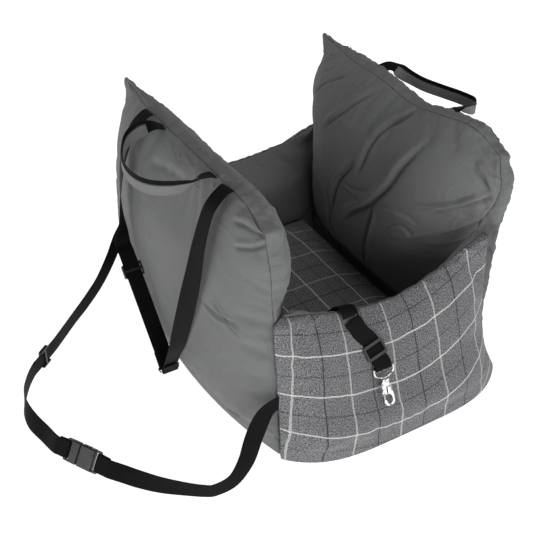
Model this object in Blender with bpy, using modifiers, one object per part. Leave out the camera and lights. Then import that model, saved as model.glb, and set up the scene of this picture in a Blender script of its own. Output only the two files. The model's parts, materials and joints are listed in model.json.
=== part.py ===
"""Padded dog car seat: two tall stuffed end panels, two low stuffed walls, a base,
a loose plaid cushion, two carry handles, a hanging support strap with a metal ring,
a fastening belt with a side-release buckle, and a restraint leash with a bolt snap.

Metres, +Z up. The origin is on the floor under the middle of the seat.
+X runs along the plaid front wall, from the panel with the hanging straps (-X) to the
other panel (+X). +Y runs from the front wall to the rear wall.
"""
import math

import bmesh
import bpy
import numpy as np
from mathutils import Matrix, Vector

# ---------------------------------------------------------------- dimensions
HALF_X = 0.225          # outer seam of an end panel, from the middle
PANEL_T = 0.036         # gusset width of an end panel
PANEL_TOP = 0.443       # height of an end panel's top seam, mid-span
WALL_TOP = 0.222        # low wall height, mid-span
FABRIC = 0.0011         # cover cloth, modelled thickness
CUSHION = (0.147, 0.228, 0.066)   # half width, half depth, top height
BASE_T = 0.004
FOOT = 0.042            # how far a panel's lower edge bows out, mid-span
WALL_FOOT = 0.059       # the same for a low wall

WEB = 0.030             # strap webbing width
WEB_T = 0.0015          # strap webbing thickness
GRIP = 0.025            # handle webbing width
SEAM_X = 0.2310         # hinge line of handles and hanging straps
SEAM_Z = 0.4500

GLIDE_L = 0.026         # strap adjuster length
GLIDE_W = 0.038
BUCKLE_W = 0.038
RING_WIRE = 0.0016

# ---------------------------------------------------------------- clean scene
for _ob in list(bpy.data.objects):
    bpy.data.objects.remove(_ob, do_unlink=True)

SEAT = bpy.data.collections.new("dog_car_seat")
TOOLS = bpy.data.collections.new("cutters")
bpy.context.scene.collection.children.link(SEAT)
bpy.context.scene.collection.children.link(TOOLS)


def material(name, color, rough, metal=0.0):
    mat = bpy.data.materials.new(name)
    mat.use_nodes = True
    bsdf = mat.node_tree.nodes["Principled BSDF"]
    bsdf.inputs["Base Color"].default_value = (*color, 1.0)
    bsdf.inputs["Roughness"].default_value = rough
    bsdf.inputs["Metallic"].default_value = metal
    mat.diffuse_color = (*color, 1.0)
    return mat


CANVAS = material("grey_canvas", (0.13, 0.135, 0.135), 0.85)
LINING = material("grey_lining", (0.11, 0.112, 0.11), 0.85)
PLAID = material("grey_plaid", (0.17, 0.175, 0.185), 0.95)
FIBRE = material("polyester_fibre", (0.85, 0.85, 0.83), 0.95)
WEBBING = material("black_webbing", (0.012, 0.012, 0.013), 0.8)
TAPE = material("grey_handle_tape", (0.14, 0.145, 0.145), 0.85)
DARK_PLASTIC = material("dark_grey_plastic", (0.05, 0.052, 0.054), 0.45)
BLACK_PLASTIC = material("black_plastic", (0.012, 0.012, 0.013), 0.4)
CHROME = material("chrome", (0.8, 0.8, 0.82), 0.15, 1.0)
SPRING = material("spring_steel", (0.6, 0.6, 0.6), 0.3, 1.0)


# ---------------------------------------------------------------- small helpers
def empty(name, location):
    ob = bpy.data.objects.new(name, None)
    ob.location = location
    SEAT.objects.link(ob)
    return ob


def add(name, bm_or_mesh, mat, matrix=None, parent=None, smooth=True):
    if isinstance(bm_or_mesh, bmesh.types.BMesh):
        mesh = bpy.data.meshes.new(name)
        bm_or_mesh.to_mesh(mesh)
        bm_or_mesh.free()
    else:
        mesh = bm_or_mesh
    mesh.materials.clear()
    mesh.materials.append(mat)
    if smooth:
        mesh.shade_smooth()
        mesh.set_sharp_from_angle(angle=math.radians(40))
    ob = bpy.data.objects.new(name, mesh)
    SEAT.objects.link(ob)
    world = matrix if matrix is not None else Matrix.Identity(4)
    if parent is not None:
        ob.parent = parent
        bpy.context.view_layer.update()
        ob.matrix_world = world
    else:
        ob.matrix_world = world
    return ob


def box_bm(size, centre=(0, 0, 0), bevel=0.0, segments=2, vertical_only=False):
    bm = bmesh.new()
    bmesh.ops.create_cube(bm, size=1.0)
    bmesh.ops.scale(bm, vec=size, verts=bm.verts)
    if bevel:
        edges = [e for e in bm.edges
                 if not vertical_only or abs((e.verts[0].co - e.verts[1].co).z) > 1e-6]
        bmesh.ops.bevel(bm, geom=edges, offset=bevel, segments=segments, profile=0.5,
                        affect="EDGES")
    bmesh.ops.translate(bm, vec=centre, verts=bm.verts)
    return bm


def cylinder_bm(radius, y0, y1, centre=(0, 0), segments=20):
    """A cylinder along local Y."""
    bm = bmesh.new()
    bmesh.ops.create_cone(bm, cap_ends=True, segments=segments, radius1=radius,
                          radius2=radius, depth=abs(y1 - y0))
    bmesh.ops.rotate(bm, verts=bm.verts, matrix=Matrix.Rotation(math.pi / 2, 3, "X"))
    bmesh.ops.translate(bm, vec=(centre[0], (y0 + y1) / 2, centre[1]), verts=bm.verts)
    return bm


def tool(name, bm, matrix):
    mesh = bpy.data.meshes.new(name)
    bm.to_mesh(mesh)
    bm.free()
    ob = bpy.data.objects.new(name, mesh)
    ob.matrix_world = matrix
    ob.hide_render = True
    ob.display_type = "WIRE"
    TOOLS.objects.link(ob)
    return ob


def boolean(ob, other, operation="DIFFERENCE"):
    mod = ob.modifiers.new(other.name, "BOOLEAN")
    mod.operation = operation
    mod.solver = "EXACT"
    mod.object = other


def catmull(points, per_span):
    """A smooth path through the route points, as an array of positions."""
    p = np.array(points, dtype=float)
    p = np.vstack([2 * p[0] - p[1], p, 2 * p[-1] - p[-2]])
    out = []
    for i in range(1, len(p) - 2):
        a, b, c, d = p[i - 1], p[i], p[i + 1], p[i + 2]
        for k in range(per_span):
            t = k / per_span
            out.append(0.5 * ((2 * b) + (-a + c) * t + (2 * a - 5 * b + 4 * c - d) * t * t
                              + (-a + 3 * b - 3 * c + d) * t ** 3))
    out.append(p[-2])
    return np.array(out)


def strap(name, route, sides, width, mat, per_span=4, thickness=WEB_T, parent=None,
          offset=0.0, keep=slice(None)):
    """Flat webbing: a strip swept along a route, with its width along sides."""
    path = catmull(route, per_span)
    across = catmull(sides, per_span)
    tangent = np.gradient(path, axis=0)
    tangent /= np.linalg.norm(tangent, axis=1)[:, None]
    across -= tangent * np.sum(across * tangent, axis=1)[:, None]
    across /= np.linalg.norm(across, axis=1)[:, None]
    normal = np.cross(tangent, across)
    centre = (path + normal * offset)[keep]
    across = across[keep]
    bm = bmesh.new()
    left = [bm.verts.new(Vector(c - a * width / 2)) for c, a in zip(centre, across)]
    right = [bm.verts.new(Vector(c + a * width / 2)) for c, a in zip(centre, across)]
    for i in range(len(left) - 1):
        bm.faces.new((left[i], left[i + 1], right[i + 1], right[i]))
    ob = add(name, bm, mat, parent=parent)
    solid = ob.modifiers.new("thickness", "SOLIDIFY")
    solid.thickness = thickness
    solid.offset = 0.0
    return ob


# ---------------------------------------------------------------- stuffed pieces
def pillow(place, u_cuts, v_cuts):
    """A closed stuffed form: a cube cut into cells, each corner put where place(u, v, w)
    says. w is -1 outside, +1 inside and 0 along the gusset's crown."""
    bm = bmesh.new()
    bmesh.ops.create_cube(bm, size=2.0)
    for axis, cuts in ((0, u_cuts), (1, v_cuts), (2, (0.0,))):
        for c in cuts:
            co = Vector((0, 0, 0))
            no = Vector((0, 0, 0))
            co[axis] = c
            no[axis] = 1.0
            bmesh.ops.bisect_plane(bm, geom=bm.verts[:] + bm.edges[:] + bm.faces[:],
                                   dist=1e-6, plane_co=co, plane_no=no)
    for v in bm.verts:
        v.co = Vector(place(v.co.x, v.co.y, v.co.z))
    bm.normal_update()
    bmesh.ops.recalc_face_normals(bm, faces=bm.faces)
    mesh = bpy.data.meshes.new("cage")
    bm.to_mesh(mesh)
    bm.free()
    return mesh


def inset(mesh, depth):
    """The same form, smaller all round by depth."""
    bm = bmesh.new()
    bm.from_mesh(mesh)
    bm.normal_update()
    moves = [(v, v.normal * (depth * min(v.calc_shell_factor(), 2.6))) for v in bm.verts]
    for v, move in moves:
        v.co -= move
    return bm


def fabric_shell(name, mesh, mat, remove, depth=0.0, parent=None):
    """The cloth around a stuffed form, open where remove(centre, normal) says."""
    bm = inset(mesh, depth)
    bm.normal_update()
    gone = [f for f in bm.faces if remove(f.calc_center_median(), f.normal)]
    bmesh.ops.delete(bm, geom=gone, context="FACES")
    ob = add(name, bm, mat, parent=parent)
    solid = ob.modifiers.new("cloth", "SOLIDIFY")
    solid.thickness = FABRIC
    solid.offset = -1.0
    solid.use_even_offset = True
    return ob


def fill(name, mesh, depth, parent=None):
    return add(name, inset(mesh, depth), FIBRE, parent=parent)


def ramp(x, xs, ys):
    return float(np.interp(x, xs, ys))


FLOOR = BASE_T + 0.0005


def glide(x, xs, ys):
    """A smooth curve through the knots that never overshoots them."""
    xs, ys = np.asarray(xs, float), np.asarray(ys, float)
    h, d = np.diff(xs), np.diff(ys) / np.diff(xs)
    m = np.zeros(len(xs))
    m[0], m[-1] = d[0], d[-1]
    for k in range(1, len(xs) - 1):
        if d[k - 1] * d[k] > 0:
            m[k] = 2 * d[k - 1] * d[k] / (d[k - 1] + d[k])
    k = int(np.clip(np.searchsorted(xs, x) - 1, 0, len(h) - 1))
    t = (x - xs[k]) / h[k]
    return float(ys[k] * (1 + 2 * t) * (1 - t) ** 2 + ys[k + 1] * t * t * (3 - 2 * t)
                 + h[k] * (m[k] * t * (1 - t) ** 2 - m[k + 1] * t * t * (1 - t)))


def ease(x, low, high):
    t = min(max((x - low) / (high - low), 0.0), 1.0)
    return t * t * (3 - 2 * t)


# ---- end panels. u runs front to back, v from bottom to top.
PANEL_U = (-0.92, -0.76, -0.52, -0.2, 0.2, 0.52, 0.76, 0.92)
PANEL_V = (-0.86, -0.70, -0.52, -0.30, 0.0, 0.26, 0.42, 0.60, 0.76, 0.90)
# half widths of the outer and the inner face against height, where a low wall is mitred
# onto the panel, and at the front of the right panel
HEIGHTS = (0.0, 0.25, 0.50, 0.62, 0.76, 0.88, 1.0)
OUT_MITRE = (0.303, 0.297, 0.287, 0.279, 0.272, 0.268, 0.268)
IN_MITRE = (0.240, 0.240, 0.240, 0.240, 0.263, 0.264, 0.262)
OUT_BLUNT = (0.268, 0.268, 0.268, 0.268, 0.277, 0.283, 0.274)
IN_BLUNT = (0.240, 0.240, 0.240, 0.240, 0.267, 0.277, 0.274)


def panel_place(side, swell_out, swell_in, lean):
    def place(u, v, w):
        t = (v + 1) / 2
        if side < 0:
            top = PANEL_TOP + (0.010 if u > 0 else -0.006) * u ** 4
            out_half, in_half = glide(t, HEIGHTS, OUT_MITRE), glide(t, HEIGHTS, IN_MITRE)
            round_off, ridge = 0.014, 0.003
        else:
            top = (PANEL_TOP - 0.011 * math.exp(-((u + 0.15) / 0.24) ** 2)
                   + 0.011 * math.exp(-((u + 0.72) / 0.28) ** 2) + 0.010 * max(u, 0) ** 4)
            rear = u > 0
            out_half = glide(t, HEIGHTS, OUT_MITRE if rear else OUT_BLUNT)
            in_half = glide(t, HEIGHTS, IN_MITRE if rear else IN_BLUNT)
            if rear:
                out_half -= 0.018 * ease(t, 0.6, 1.0)
                in_half -= 0.014 * ease(t, 0.76, 1.0)
            round_off, ridge = 0.010, 0.003 if rear else 0.007
        z = FLOOR + t * (top - FLOOR)
        corner = ease(-u, 0.62, 1.0) * ease(t, 0.80, 1.0)
        seam_out = HALF_X + FOOT * (1 - t) ** 5 * (1 - abs(u) ** 2.4) + lean * (t - 0.3)
        seam_in = HALF_X - PANEL_T + lean * (t - 0.3)
        ear = ease(u, 0.55, 1.0) * ease(t, 0.72, 1.0)
        mid = (seam_out + seam_in) / 2 + (0.004 if side < 0 else -0.008) * ear
        seam_out += (mid - seam_out) * 0.70 * ear
        seam_in += (mid - seam_in) * 0.70 * ear
        fat = (1 - abs(u) ** 5) ** 0.6 if side < 0 and u > 0 else (1 - abs(u) ** 3.0) ** 0.7
        x_out = seam_out + swell_out * fat * (1 - abs(v) ** 2.6) ** 0.8
        above = glide(t, (0.0, 0.12, 0.17, 0.23, 0.32, 0.45, 0.63, 0.80, 0.92, 1.0),
                      (0.0, 0.24, 0.47, 0.64, 0.82, 0.95, 1.0, 0.84, 0.48, 0.0))
        x_in = seam_in - swell_in * (1 - abs(u) ** 2.8) ** 0.85 * above
        s = (w + 1) / 2
        x = x_out + (x_in - x_out) * s
        y = u * (out_half + (in_half - out_half) * s)
        if v > 0.999:
            if side < 0:
                z += 0.002 - 0.004 * w - 0.006 * w * w
            else:
                z += 0.003 + 0.002 * w - 0.004 * w * w
        elif v < -0.999:
            z = FLOOR
        else:
            z -= (0.008 if side < 0 else -0.001) * s * t ** 6
        if abs(u) > 0.999:
            low = 0.004 if u > 0 or side < 0 else 0.002
            bulge = (low + (ridge - low) * ease(t, 0.62, 0.78)) * (1 - w * w) * (1 - ear)
            y += math.copysign(bulge, u)
        y += 0.75 * round_off * corner
        y += 0.016 * ease(u, 0.90, 1.0) * ease(t, 0.90, 1.0)
        z -= round_off * corner * (0.25 + 0.75 * ease(-u, 0.62, 1.0))
        return side * x, y, z
    return place


def bottom_gap(c, n):
    return n.z < -0.8 and c.z < 0.02 and abs(c.y) < 0.11


left_mesh = pillow(panel_place(-1, 0.050, 0.050, 0.0), PANEL_U, PANEL_V)
right_mesh = pillow(panel_place(1, 0.046, 0.078, 0.010), PANEL_U, PANEL_V)
fabric_shell("left_panel_cover", left_mesh, CANVAS, bottom_gap)
fill("left_panel_fill", left_mesh, 0.0026)
fabric_shell("right_panel_cover", right_mesh, CANVAS, bottom_gap)
fill("right_panel_fill", right_mesh, 0.0026)

# ---- low walls. u runs left to right, v from bottom to top, w from outside to inside.
WALL_V = (-0.78, -0.45, -0.1, 0.3, 0.65)
WALL_U = (-0.93, -0.80, -0.55, -0.2, 0.2, 0.55, 0.80, 0.93)


def wall_place(side):
    front = side < 0

    def place(u, v, w):
        t = (v + 1) / 2
        s = (w + 1) / 2
        rise = (0.050 if u < 0 else 0.075) if front else 0.048
        top = (WALL_TOP if front else WALL_TOP - 0.016) + rise * abs(u) ** (1.8 if front else 2.6)
        z = FLOOR + t * (top - FLOOR)
        mitre = (0.2225, 0.2030, 0.1860)
        x_left = -float(np.interp(w, (-1, 0, 1), mitre))
        if front:
            edge = glide(t, (0.0, 0.2, 0.45, 0.7, 1.0), (0.232, 0.205, 0.190, 0.186, 0.186))
            x_right = float(np.interp(w, (-1, 0, 1),
                                      (edge, 0.190 + 0.2 * (edge - 0.190), 0.184)))
        else:
            x_right = -x_left
        x = x_left + (x_right - x_left) * (u + 1) / 2
        y_out = glide(t, (0.0, 0.2, 0.45, 0.7, 1.0), (0.311, 0.308, 0.302, 0.296, 0.287))
        swell = glide(t, (0.0, 0.2, 0.45, 0.7, 0.88, 1.0),
                      (WALL_FOOT, WALL_FOOT + 0.001, 0.0405, 0.0265, 0.0135, 0.004))
        y_out += swell * (1 - abs(u) ** 4.2)
        y_in = glide(t, (0.0, 0.7, 1.0), (0.2435, 0.2440, 0.2560))
        y_in -= 0.008 * (1 - abs(u) ** 3) * glide(t, (0, 0.35, 0.7, 1), (0, 0, 1, 0.0))
        y = y_out + (y_in - y_out) * s
        if abs(u) > 0.999:
            y += float(np.interp(w, (-1, 0, 1), (0, 0.274 - (y_out + y_in) / 2, 0)))
        if v > 0.999:
            z += (0.008 - 0.008 * w - 0.016 * w * w) * (1 - 0.8 * ease(abs(u), 0.75, 1.0))
        else:
            z -= 0.016 * s * t ** 5
        return x, side * y, z
    return place


def wall_open(c, n):
    return n.z < -0.8 and c.z < 0.02


front_mesh = pillow(wall_place(-1), WALL_U, WALL_V)
rear_mesh = pillow(wall_place(1), WALL_U, WALL_V)
for side, word, mesh in ((-1, "front", front_mesh), (1, "rear", rear_mesh)):
    def not_outer(c, n, side=side):
        return wall_open(c, n) or (n.y * side < 0.15 and abs(n.x) <= 0.45)

    def not_inner(c, n, side=side):
        return wall_open(c, n) or n.y * side >= 0.15 or abs(n.x) > 0.45

    fabric_shell(word + "_wall_plaid_cover", mesh, PLAID, not_outer)
    fabric_shell(word + "_wall_lining", mesh, LINING, not_inner, depth=0.0026)
    fill(word + "_wall_fill", mesh, 0.0056)

# ---- base panel: a flat sewn board with rounded corners


def base_outline(steps=9):
    """Four bowed sides between the corners, with the same bow as the pieces above."""
    pts = []
    for side in range(4):
        for k in range(steps):
            q = -1 + 2 * k / steps
            bow = 1 - abs(q) ** 2.6
            a, b = ((q * 0.214, -(0.300 + (WALL_FOOT - 0.004) * bow)) if side == 0 else
                    ((0.216 + (FOOT - 0.004) * bow), q * 0.298) if side == 1 else
                    (-q * 0.214, 0.300 + (WALL_FOOT - 0.004) * bow) if side == 2 else
                    (-(0.216 + (FOOT - 0.004) * bow), -q * 0.298))
            pts.append((a, b))
    return pts


# ---- loose cushion on the floor
def cushion_place(u, v, w):
    hx, hy, top = CUSHION
    mid = (FLOOR + top) / 2
    half = (top - FLOOR) / 2
    r = (1 - abs(u) ** 3) * (1 - abs(v) ** 3)
    x = u * hx * (1 - 0.02 * (1 - v * v))
    y = v * hy * (1 - 0.02 * (1 - u * u))
    if w < -0.5:
        z = FLOOR
    elif w > 0.5:
        z = mid + half * 0.55 + half * 0.45 * r
    else:
        z = mid - 0.004
        x += 0.003 * u if abs(u) > 0.99 else 0.0
        y += 0.003 * v if abs(v) > 0.99 else 0.0
    return x, y, z


cushion_mesh = pillow(cushion_place, (-0.92, -0.7, -0.3, 0.3, 0.7, 0.92),
                      (-0.95, -0.8, -0.4, 0.0, 0.4, 0.8, 0.95))
fabric_shell("seat_cushion_cover", cushion_mesh, PLAID,
             lambda c, n: n.y > 0.75 and abs(c.x) < 0.07 and c.y > 0.2)
fill("seat_cushion_fill", cushion_mesh, 0.0026)

# ---------------------------------------------------------------- carry handles
# Each handle is webbing that is sewn flat in the top seam, turns on edge over the grip
# and carries a strip of panel cloth on its outer face.
left_axis = empty("left_handle_axis", (-SEAM_X, 0.0, SEAM_Z))
right_axis = empty("right_handle_axis", (SEAM_X, 0.0, SEAM_Z))

LEFT_GRIP = [(-0.2325, 0.078, 0.4500), (-0.248, 0.086, 0.4470), (-0.272, 0.092, 0.4400),
             (-0.300, 0.078, 0.4330), (-0.323, 0.036, 0.4270), (-0.331, -0.012, 0.4250),
             (-0.323, -0.055, 0.4270), (-0.300, -0.086, 0.4320), (-0.272, -0.103, 0.4390),
             (-0.248, -0.103, 0.4460), (-0.2325, -0.098, 0.4500)]
LEFT_SIDES = [(0, 1, 0), (0.1, 1, 0.25), (0.1, 0.5, 0.85), (0, 0.1, 1), (0, 0, 1),
              (0, 0, 1), (0, 0, 1), (0, -0.1, 1), (0.1, -0.5, 0.85), (0.1, -1, 0.25),
              (0, -1, 0)]
RIGHT_GRIP = [(0.2325, 0.080, 0.4500), (0.247, 0.078, 0.4450), (0.260, 0.056, 0.4340),
              (0.274, 0.024, 0.4260), (0.291, -0.010, 0.4220), (0.304, -0.045, 0.4210),
              (0.308, -0.078, 0.4220), (0.292, -0.100, 0.4270), (0.268, -0.110, 0.4370),
              (0.247, -0.112, 0.4450), (0.2325, -0.110, 0.4500)]
RIGHT_SIDES = [(0, 1, 0), (-0.1, 1, 0.25), (-0.1, 0.5, 0.85), (0, 0.1, 1), (0, 0, 1),
               (0, 0, 1), (0, 0, 1), (0, -0.1, 1), (-0.1, -0.5, 0.85), (-0.1, -1, 0.25),
               (0, -1, 0)]
strap("left_handle_webbing", LEFT_GRIP, LEFT_SIDES, GRIP, WEBBING, 3, parent=left_axis)
strap("left_handle_tape", LEFT_GRIP, LEFT_SIDES, GRIP - 0.001, TAPE, 3,
      0.0012, left_axis, -0.0020, slice(5, 26))
strap("right_handle_webbing", RIGHT_GRIP, RIGHT_SIDES, GRIP, WEBBING, 3,
      parent=right_axis)
strap("right_handle_tape", RIGHT_GRIP, RIGHT_SIDES, GRIP - 0.001, TAPE, 3,
      0.0012, right_axis, 0.0020, slice(5, 26))


# ---------------------------------------------------------------- hardware shapes
def frame_of(origin, along, across):
    """Local X = across the strap, Y = along it, Z = its face normal."""
    y = Vector(along).normalized()
    x = Vector(across)
    x = (x - y * x.dot(y)).normalized()
    z = x.cross(y)
    m = Matrix((x, y, z)).transposed().to_4x4()
    m.translation = Vector(origin)
    return m


def tri_glide(name, matrix, mat, parent=None):
    """Strap adjuster: two raised end bars, a lower middle bar, and side rails."""
    gap = WEB_T / 2 + 0.0004
    thick = 0.0064
    inner = WEB + 0.0014
    bm = box_bm((GLIDE_W, GLIDE_L, thick), (0, 0, 0), 0.0035, 3, True)
    ob = add(name, bm, mat, matrix, parent)
    boolean(ob, tool(name + "_channel", box_bm((inner, 0.05, 2 * gap)), matrix))
    boolean(ob, tool(name + "_window", box_bm((inner, GLIDE_L - 0.0096, 0.01),
                                              (0, 0, 0.005 + gap / 2)), matrix))
    for k, s in enumerate((-1, 1)):
        boolean(ob, tool(name + "_slot%d" % k,
                         box_bm((inner, 0.012, 0.01), (0, s * 0.0084, -0.005 - gap / 2)),
                         matrix))
    return ob


def wire_loop(name, points, radius, mat, matrix, parent=None, resolution=2):
    """A closed wire through the given local points, made a mesh."""
    cu = bpy.data.curves.new(name, "CURVE")
    cu.dimensions = "3D"
    sp = cu.splines.new("POLY")
    sp.points.add(len(points) - 1)
    for p, q in zip(sp.points, points):
        p.co = (*q, 1.0)
    sp.use_cyclic_u = True
    cu.bevel_depth = radius
    cu.bevel_resolution = resolution
    cu.use_fill_caps = True
    ob = bpy.data.objects.new(name, cu)
    bpy.context.scene.collection.objects.link(ob)
    bpy.context.view_layer.update()
    mesh = bpy.data.meshes.new_from_object(
        ob.evaluated_get(bpy.context.evaluated_depsgraph_get()))
    bpy.data.objects.remove(ob, do_unlink=True)
    bm = bmesh.new()
    bm.from_mesh(mesh)
    bmesh.ops.remove_doubles(bm, verts=bm.verts, dist=1e-6)
    bmesh.ops.recalc_face_normals(bm, faces=bm.faces)
    bpy.data.meshes.remove(mesh)
    return add(name, bm, mat, matrix, parent)


def rounded_loop(half_x, half_y, radius, per_corner=4):
    pts = []
    for cx, cy, a0 in ((1, 1, 0), (-1, 1, 90), (-1, -1, 180), (1, -1, 270)):
        for k in range(per_corner + 1):
            a = math.radians(a0 + 90 * k / per_corner)
            pts.append((cx * (half_x - radius) + radius * math.cos(a),
                        cy * (half_y - radius) + radius * math.sin(a), 0.0))
    return pts


def plate(name, outline, half_thick, mat, matrix, parent=None, bevel=0.0):
    """A flat outline given a thickness."""
    cu = bpy.data.curves.new(name, "CURVE")
    cu.dimensions = "2D"
    cu.fill_mode = "BOTH"
    cu.extrude = half_thick - bevel
    cu.bevel_depth = bevel
    cu.bevel_resolution = 1
    cu.offset = -bevel
    for loop in outline:
        sp = cu.splines.new("POLY")
        sp.points.add(len(loop) - 1)
        for p, q in zip(sp.points, loop):
            p.co = (q[0], q[1], 0.0, 1.0)
        sp.use_cyclic_u = True
    ob = bpy.data.objects.new(name, cu)
    bpy.context.scene.collection.objects.link(ob)
    bpy.context.view_layer.update()
    mesh = bpy.data.meshes.new_from_object(
        ob.evaluated_get(bpy.context.evaluated_depsgraph_get()))
    bpy.data.objects.remove(ob, do_unlink=True)
    bm = bmesh.new()
    bm.from_mesh(mesh)
    bmesh.ops.remove_doubles(bm, verts=bm.verts, dist=1e-6)
    bmesh.ops.recalc_face_normals(bm, faces=bm.faces)
    bpy.data.meshes.remove(mesh)
    return add(name, bm, mat, matrix, parent)


def wrap(bar, away, normal, radius, tail):
    """Route of a strap end that goes round a bar: in along +normal, round the bar and
    back along -normal. away points from the bar back along the strap."""
    bar, away, normal = Vector(bar), Vector(away).normalized(), Vector(normal).normalized()
    pts = []
    for k in range(7):
        a = math.pi * k / 6
        pts.append(bar + normal * (radius * math.cos(a)) - away * (radius * math.sin(a)))
    pts.append(bar - normal * (radius * 0.62) + away * (radius * 2.0))
    pts.append(bar - normal * 0.0011 + away * (radius * 4.2))
    pts.append(bar - normal * 0.0011 + away * tail)
    return pts


plate("base_panel", [base_outline()], BASE_T / 2, CANVAS,
      Matrix.Translation((0, 0, BASE_T / 2)))

# ---------------------------------------------------------------- hanging support strap
# Two webbing legs are sewn in the left panel's top seam. They hang over the panel's outer
# face in a V, turn edge-on to the panel on the way down and meet in a metal ring.
strap_axis = empty("support_strap_axis", (-SEAM_X, 0.0, SEAM_Z))
RING_AT = Vector((-0.3040, -0.0380, 0.0270))
RING_BAR = Vector((1.0, 0.0, 0.0))        # its long bars run across the V

# back leg: it carries the adjuster, and its lower part is folded round the ring
GLIDE_AT = Vector((-0.3040, 0.0960, 0.1620))
BACK_BAR = RING_AT + Vector((0.0, 0.0060, 0.0))
WRAP_R = RING_WIRE + WEB_T / 2 + 0.0013
run_dir = (BACK_BAR - GLIDE_AT).normalized()
for _k in range(4):         # the run passes beside the bar, not through its middle
    back_side = (RING_BAR - run_dir * RING_BAR.dot(run_dir)).normalized()
    back_normal = run_dir.cross(back_side).normalized()
    run_dir = (BACK_BAR + back_normal * WRAP_R - GLIDE_AT).normalized()
route = [(-0.2325, 0.126, 0.4500), (-0.244, 0.126, 0.4470), (-0.268, 0.126, 0.4240),
         (-0.290, 0.127, 0.3700), (-0.300, 0.128, 0.3100), (-0.3035, 0.129, 0.2550)]
sides = [(0, 1, 0), (0, 1, 0), (0.05, 1, 0), (0.15, 0.98, 0), (0.35, 0.92, 0.05),
         (0.6, 0.75, 0.1)]
for s in (0.058, 0.036, 0.018, 0.0):
    route.append(tuple(GLIDE_AT - run_dir * s))
    sides.append(tuple(back_side))
for f in (0.25, 0.5, 0.75):
    route.append(tuple(GLIDE_AT.lerp(BACK_BAR + back_normal * WRAP_R, f)))
    sides.append(tuple(back_side))
for q in wrap(BACK_BAR, -run_dir, back_normal, WRAP_R, 0.030):
    route.append(tuple(q))
    sides.append(tuple(back_side))
strap("support_strap_back", route, sides, WEB, WEBBING, 2, parent=strap_axis)
glide_frame = frame_of(GLIDE_AT, run_dir, back_side)
tri_glide("support_strap_adjuster", glide_frame, BLACK_PLASTIC, strap_axis)

# front leg: plain webbing that ends in a short sewn loop round the ring
FRONT_BAR = RING_AT - Vector((0.0, 0.0060, 0.0))
front_top = [(-0.2325, -0.158, 0.4500), (-0.244, -0.159, 0.4470), (-0.268, -0.160, 0.4230),
             (-0.286, -0.160, 0.3700), (-0.295, -0.152, 0.3100), (-0.300, -0.136, 0.2500),
             (-0.303, -0.112, 0.1800), (-0.304, -0.086, 0.1150)]
front_sides = [(0, 1, 0), (0, 1, 0), (-0.05, 1, 0.03), (-0.20, 0.97, 0.05),
               (-0.45, 0.88, 0.10), (-0.70, 0.68, 0.12), (-0.86, 0.45, 0.10),
               (-0.95, 0.20, 0.05)]
front_dir = (FRONT_BAR - Vector(front_top[-1])).normalized()
front_side = (RING_BAR - front_dir * RING_BAR.dot(front_dir)).normalized()
front_normal = front_dir.cross(front_side).normalized()
route = list(front_top)
sides = list(front_sides)
for f in (0.45, 0.8):
    route.append(tuple(Vector(front_top[-1]).lerp(FRONT_BAR - front_normal * WRAP_R, f)))
    sides.append(tuple(-front_side))
for q in wrap(FRONT_BAR, -front_dir, -front_normal, WRAP_R, 0.022):
    route.append(tuple(q))
    sides.append(tuple(-front_side))
strap("support_strap_front", route, sides, WEB, WEBBING, 2, parent=strap_axis)

ring_long = RING_BAR
ring_short = (FRONT_BAR - BACK_BAR).normalized()
ring_frame = frame_of(RING_AT, ring_short, ring_long)
wire_loop("support_strap_ring", rounded_loop(0.0180, (FRONT_BAR - BACK_BAR).length / 2,
                                             0.0030), RING_WIRE, CHROME, ring_frame,
          strap_axis)

# ---------------------------------------------------------------- fastening belt
# Webbing that leans back on its lower edge on the floor, from the front-left corner seam
# round to the rear-left one.
BUCKLE_AT = Vector((-0.5130, -0.1530, 0.0192))
BUCKLE_DIR = Vector((-0.510, 0.860, 0.0)).normalized()
BUCKLE_SIDE = Vector((0.520, 0.308, 0.797)).normalized()
buckle = frame_of(BUCKLE_AT, BUCKLE_DIR, BUCKLE_SIDE)


def at_buckle(x, y, z=0.0):
    return buckle @ Vector((x, y, z))


BAR_R = 0.0032 + WEB_T / 2 + 0.0005
front_bar = at_buckle(0, -0.0318)
face = buckle.to_3x3() @ Vector((0, 0, 1))
Z_EDGE = WEB / 2 + 0.0010
route = [(-0.2250, -0.3015, 0.1260), (-0.2400, -0.3035, 0.1260), (-0.2600, -0.3070, 0.1160),
         (-0.2800, -0.3130, 0.0860), (-0.3000, -0.3220, 0.0500), (-0.3260, -0.3270, 0.0250),
         (-0.3561, -0.3232, 0.0163), (-0.3728, -0.3155, 0.0162), (-0.3979, -0.2960, 0.0162),
         (-0.4278, -0.2690, 0.0158), (-0.4525, -0.2400, 0.0148), (-0.4700, -0.2170, 0.0146)]
sides = [(0, 0, 1), (-0.05, 0.05, 1), (-0.30, 0.30, 0.85), (-0.40, 0.38, 0.65),
         (-0.35, 0.28, 0.78), (-0.15, 0.10, 0.96), (-0.08, 0.0, 0.98), (-0.02, 0.0, 0.99),
         (0.08, 0.06, 0.99),
         (0.25, 0.20, 0.94), (0.42, 0.30, 0.85), (0.50, 0.32, 0.80)]
for q in (at_buckle(0, -0.058, BAR_R), at_buckle(0, -0.044, BAR_R)):
    route.append(tuple(q))
    sides.append(tuple(BUCKLE_SIDE))
for q in wrap(front_bar, -BUCKLE_DIR, face, BAR_R, 0.020):
    route.append(tuple(q))
    sides.append(tuple(BUCKLE_SIDE))
strap("belt_strap_front", route, sides, WEB, WEBBING, 2)

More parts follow.
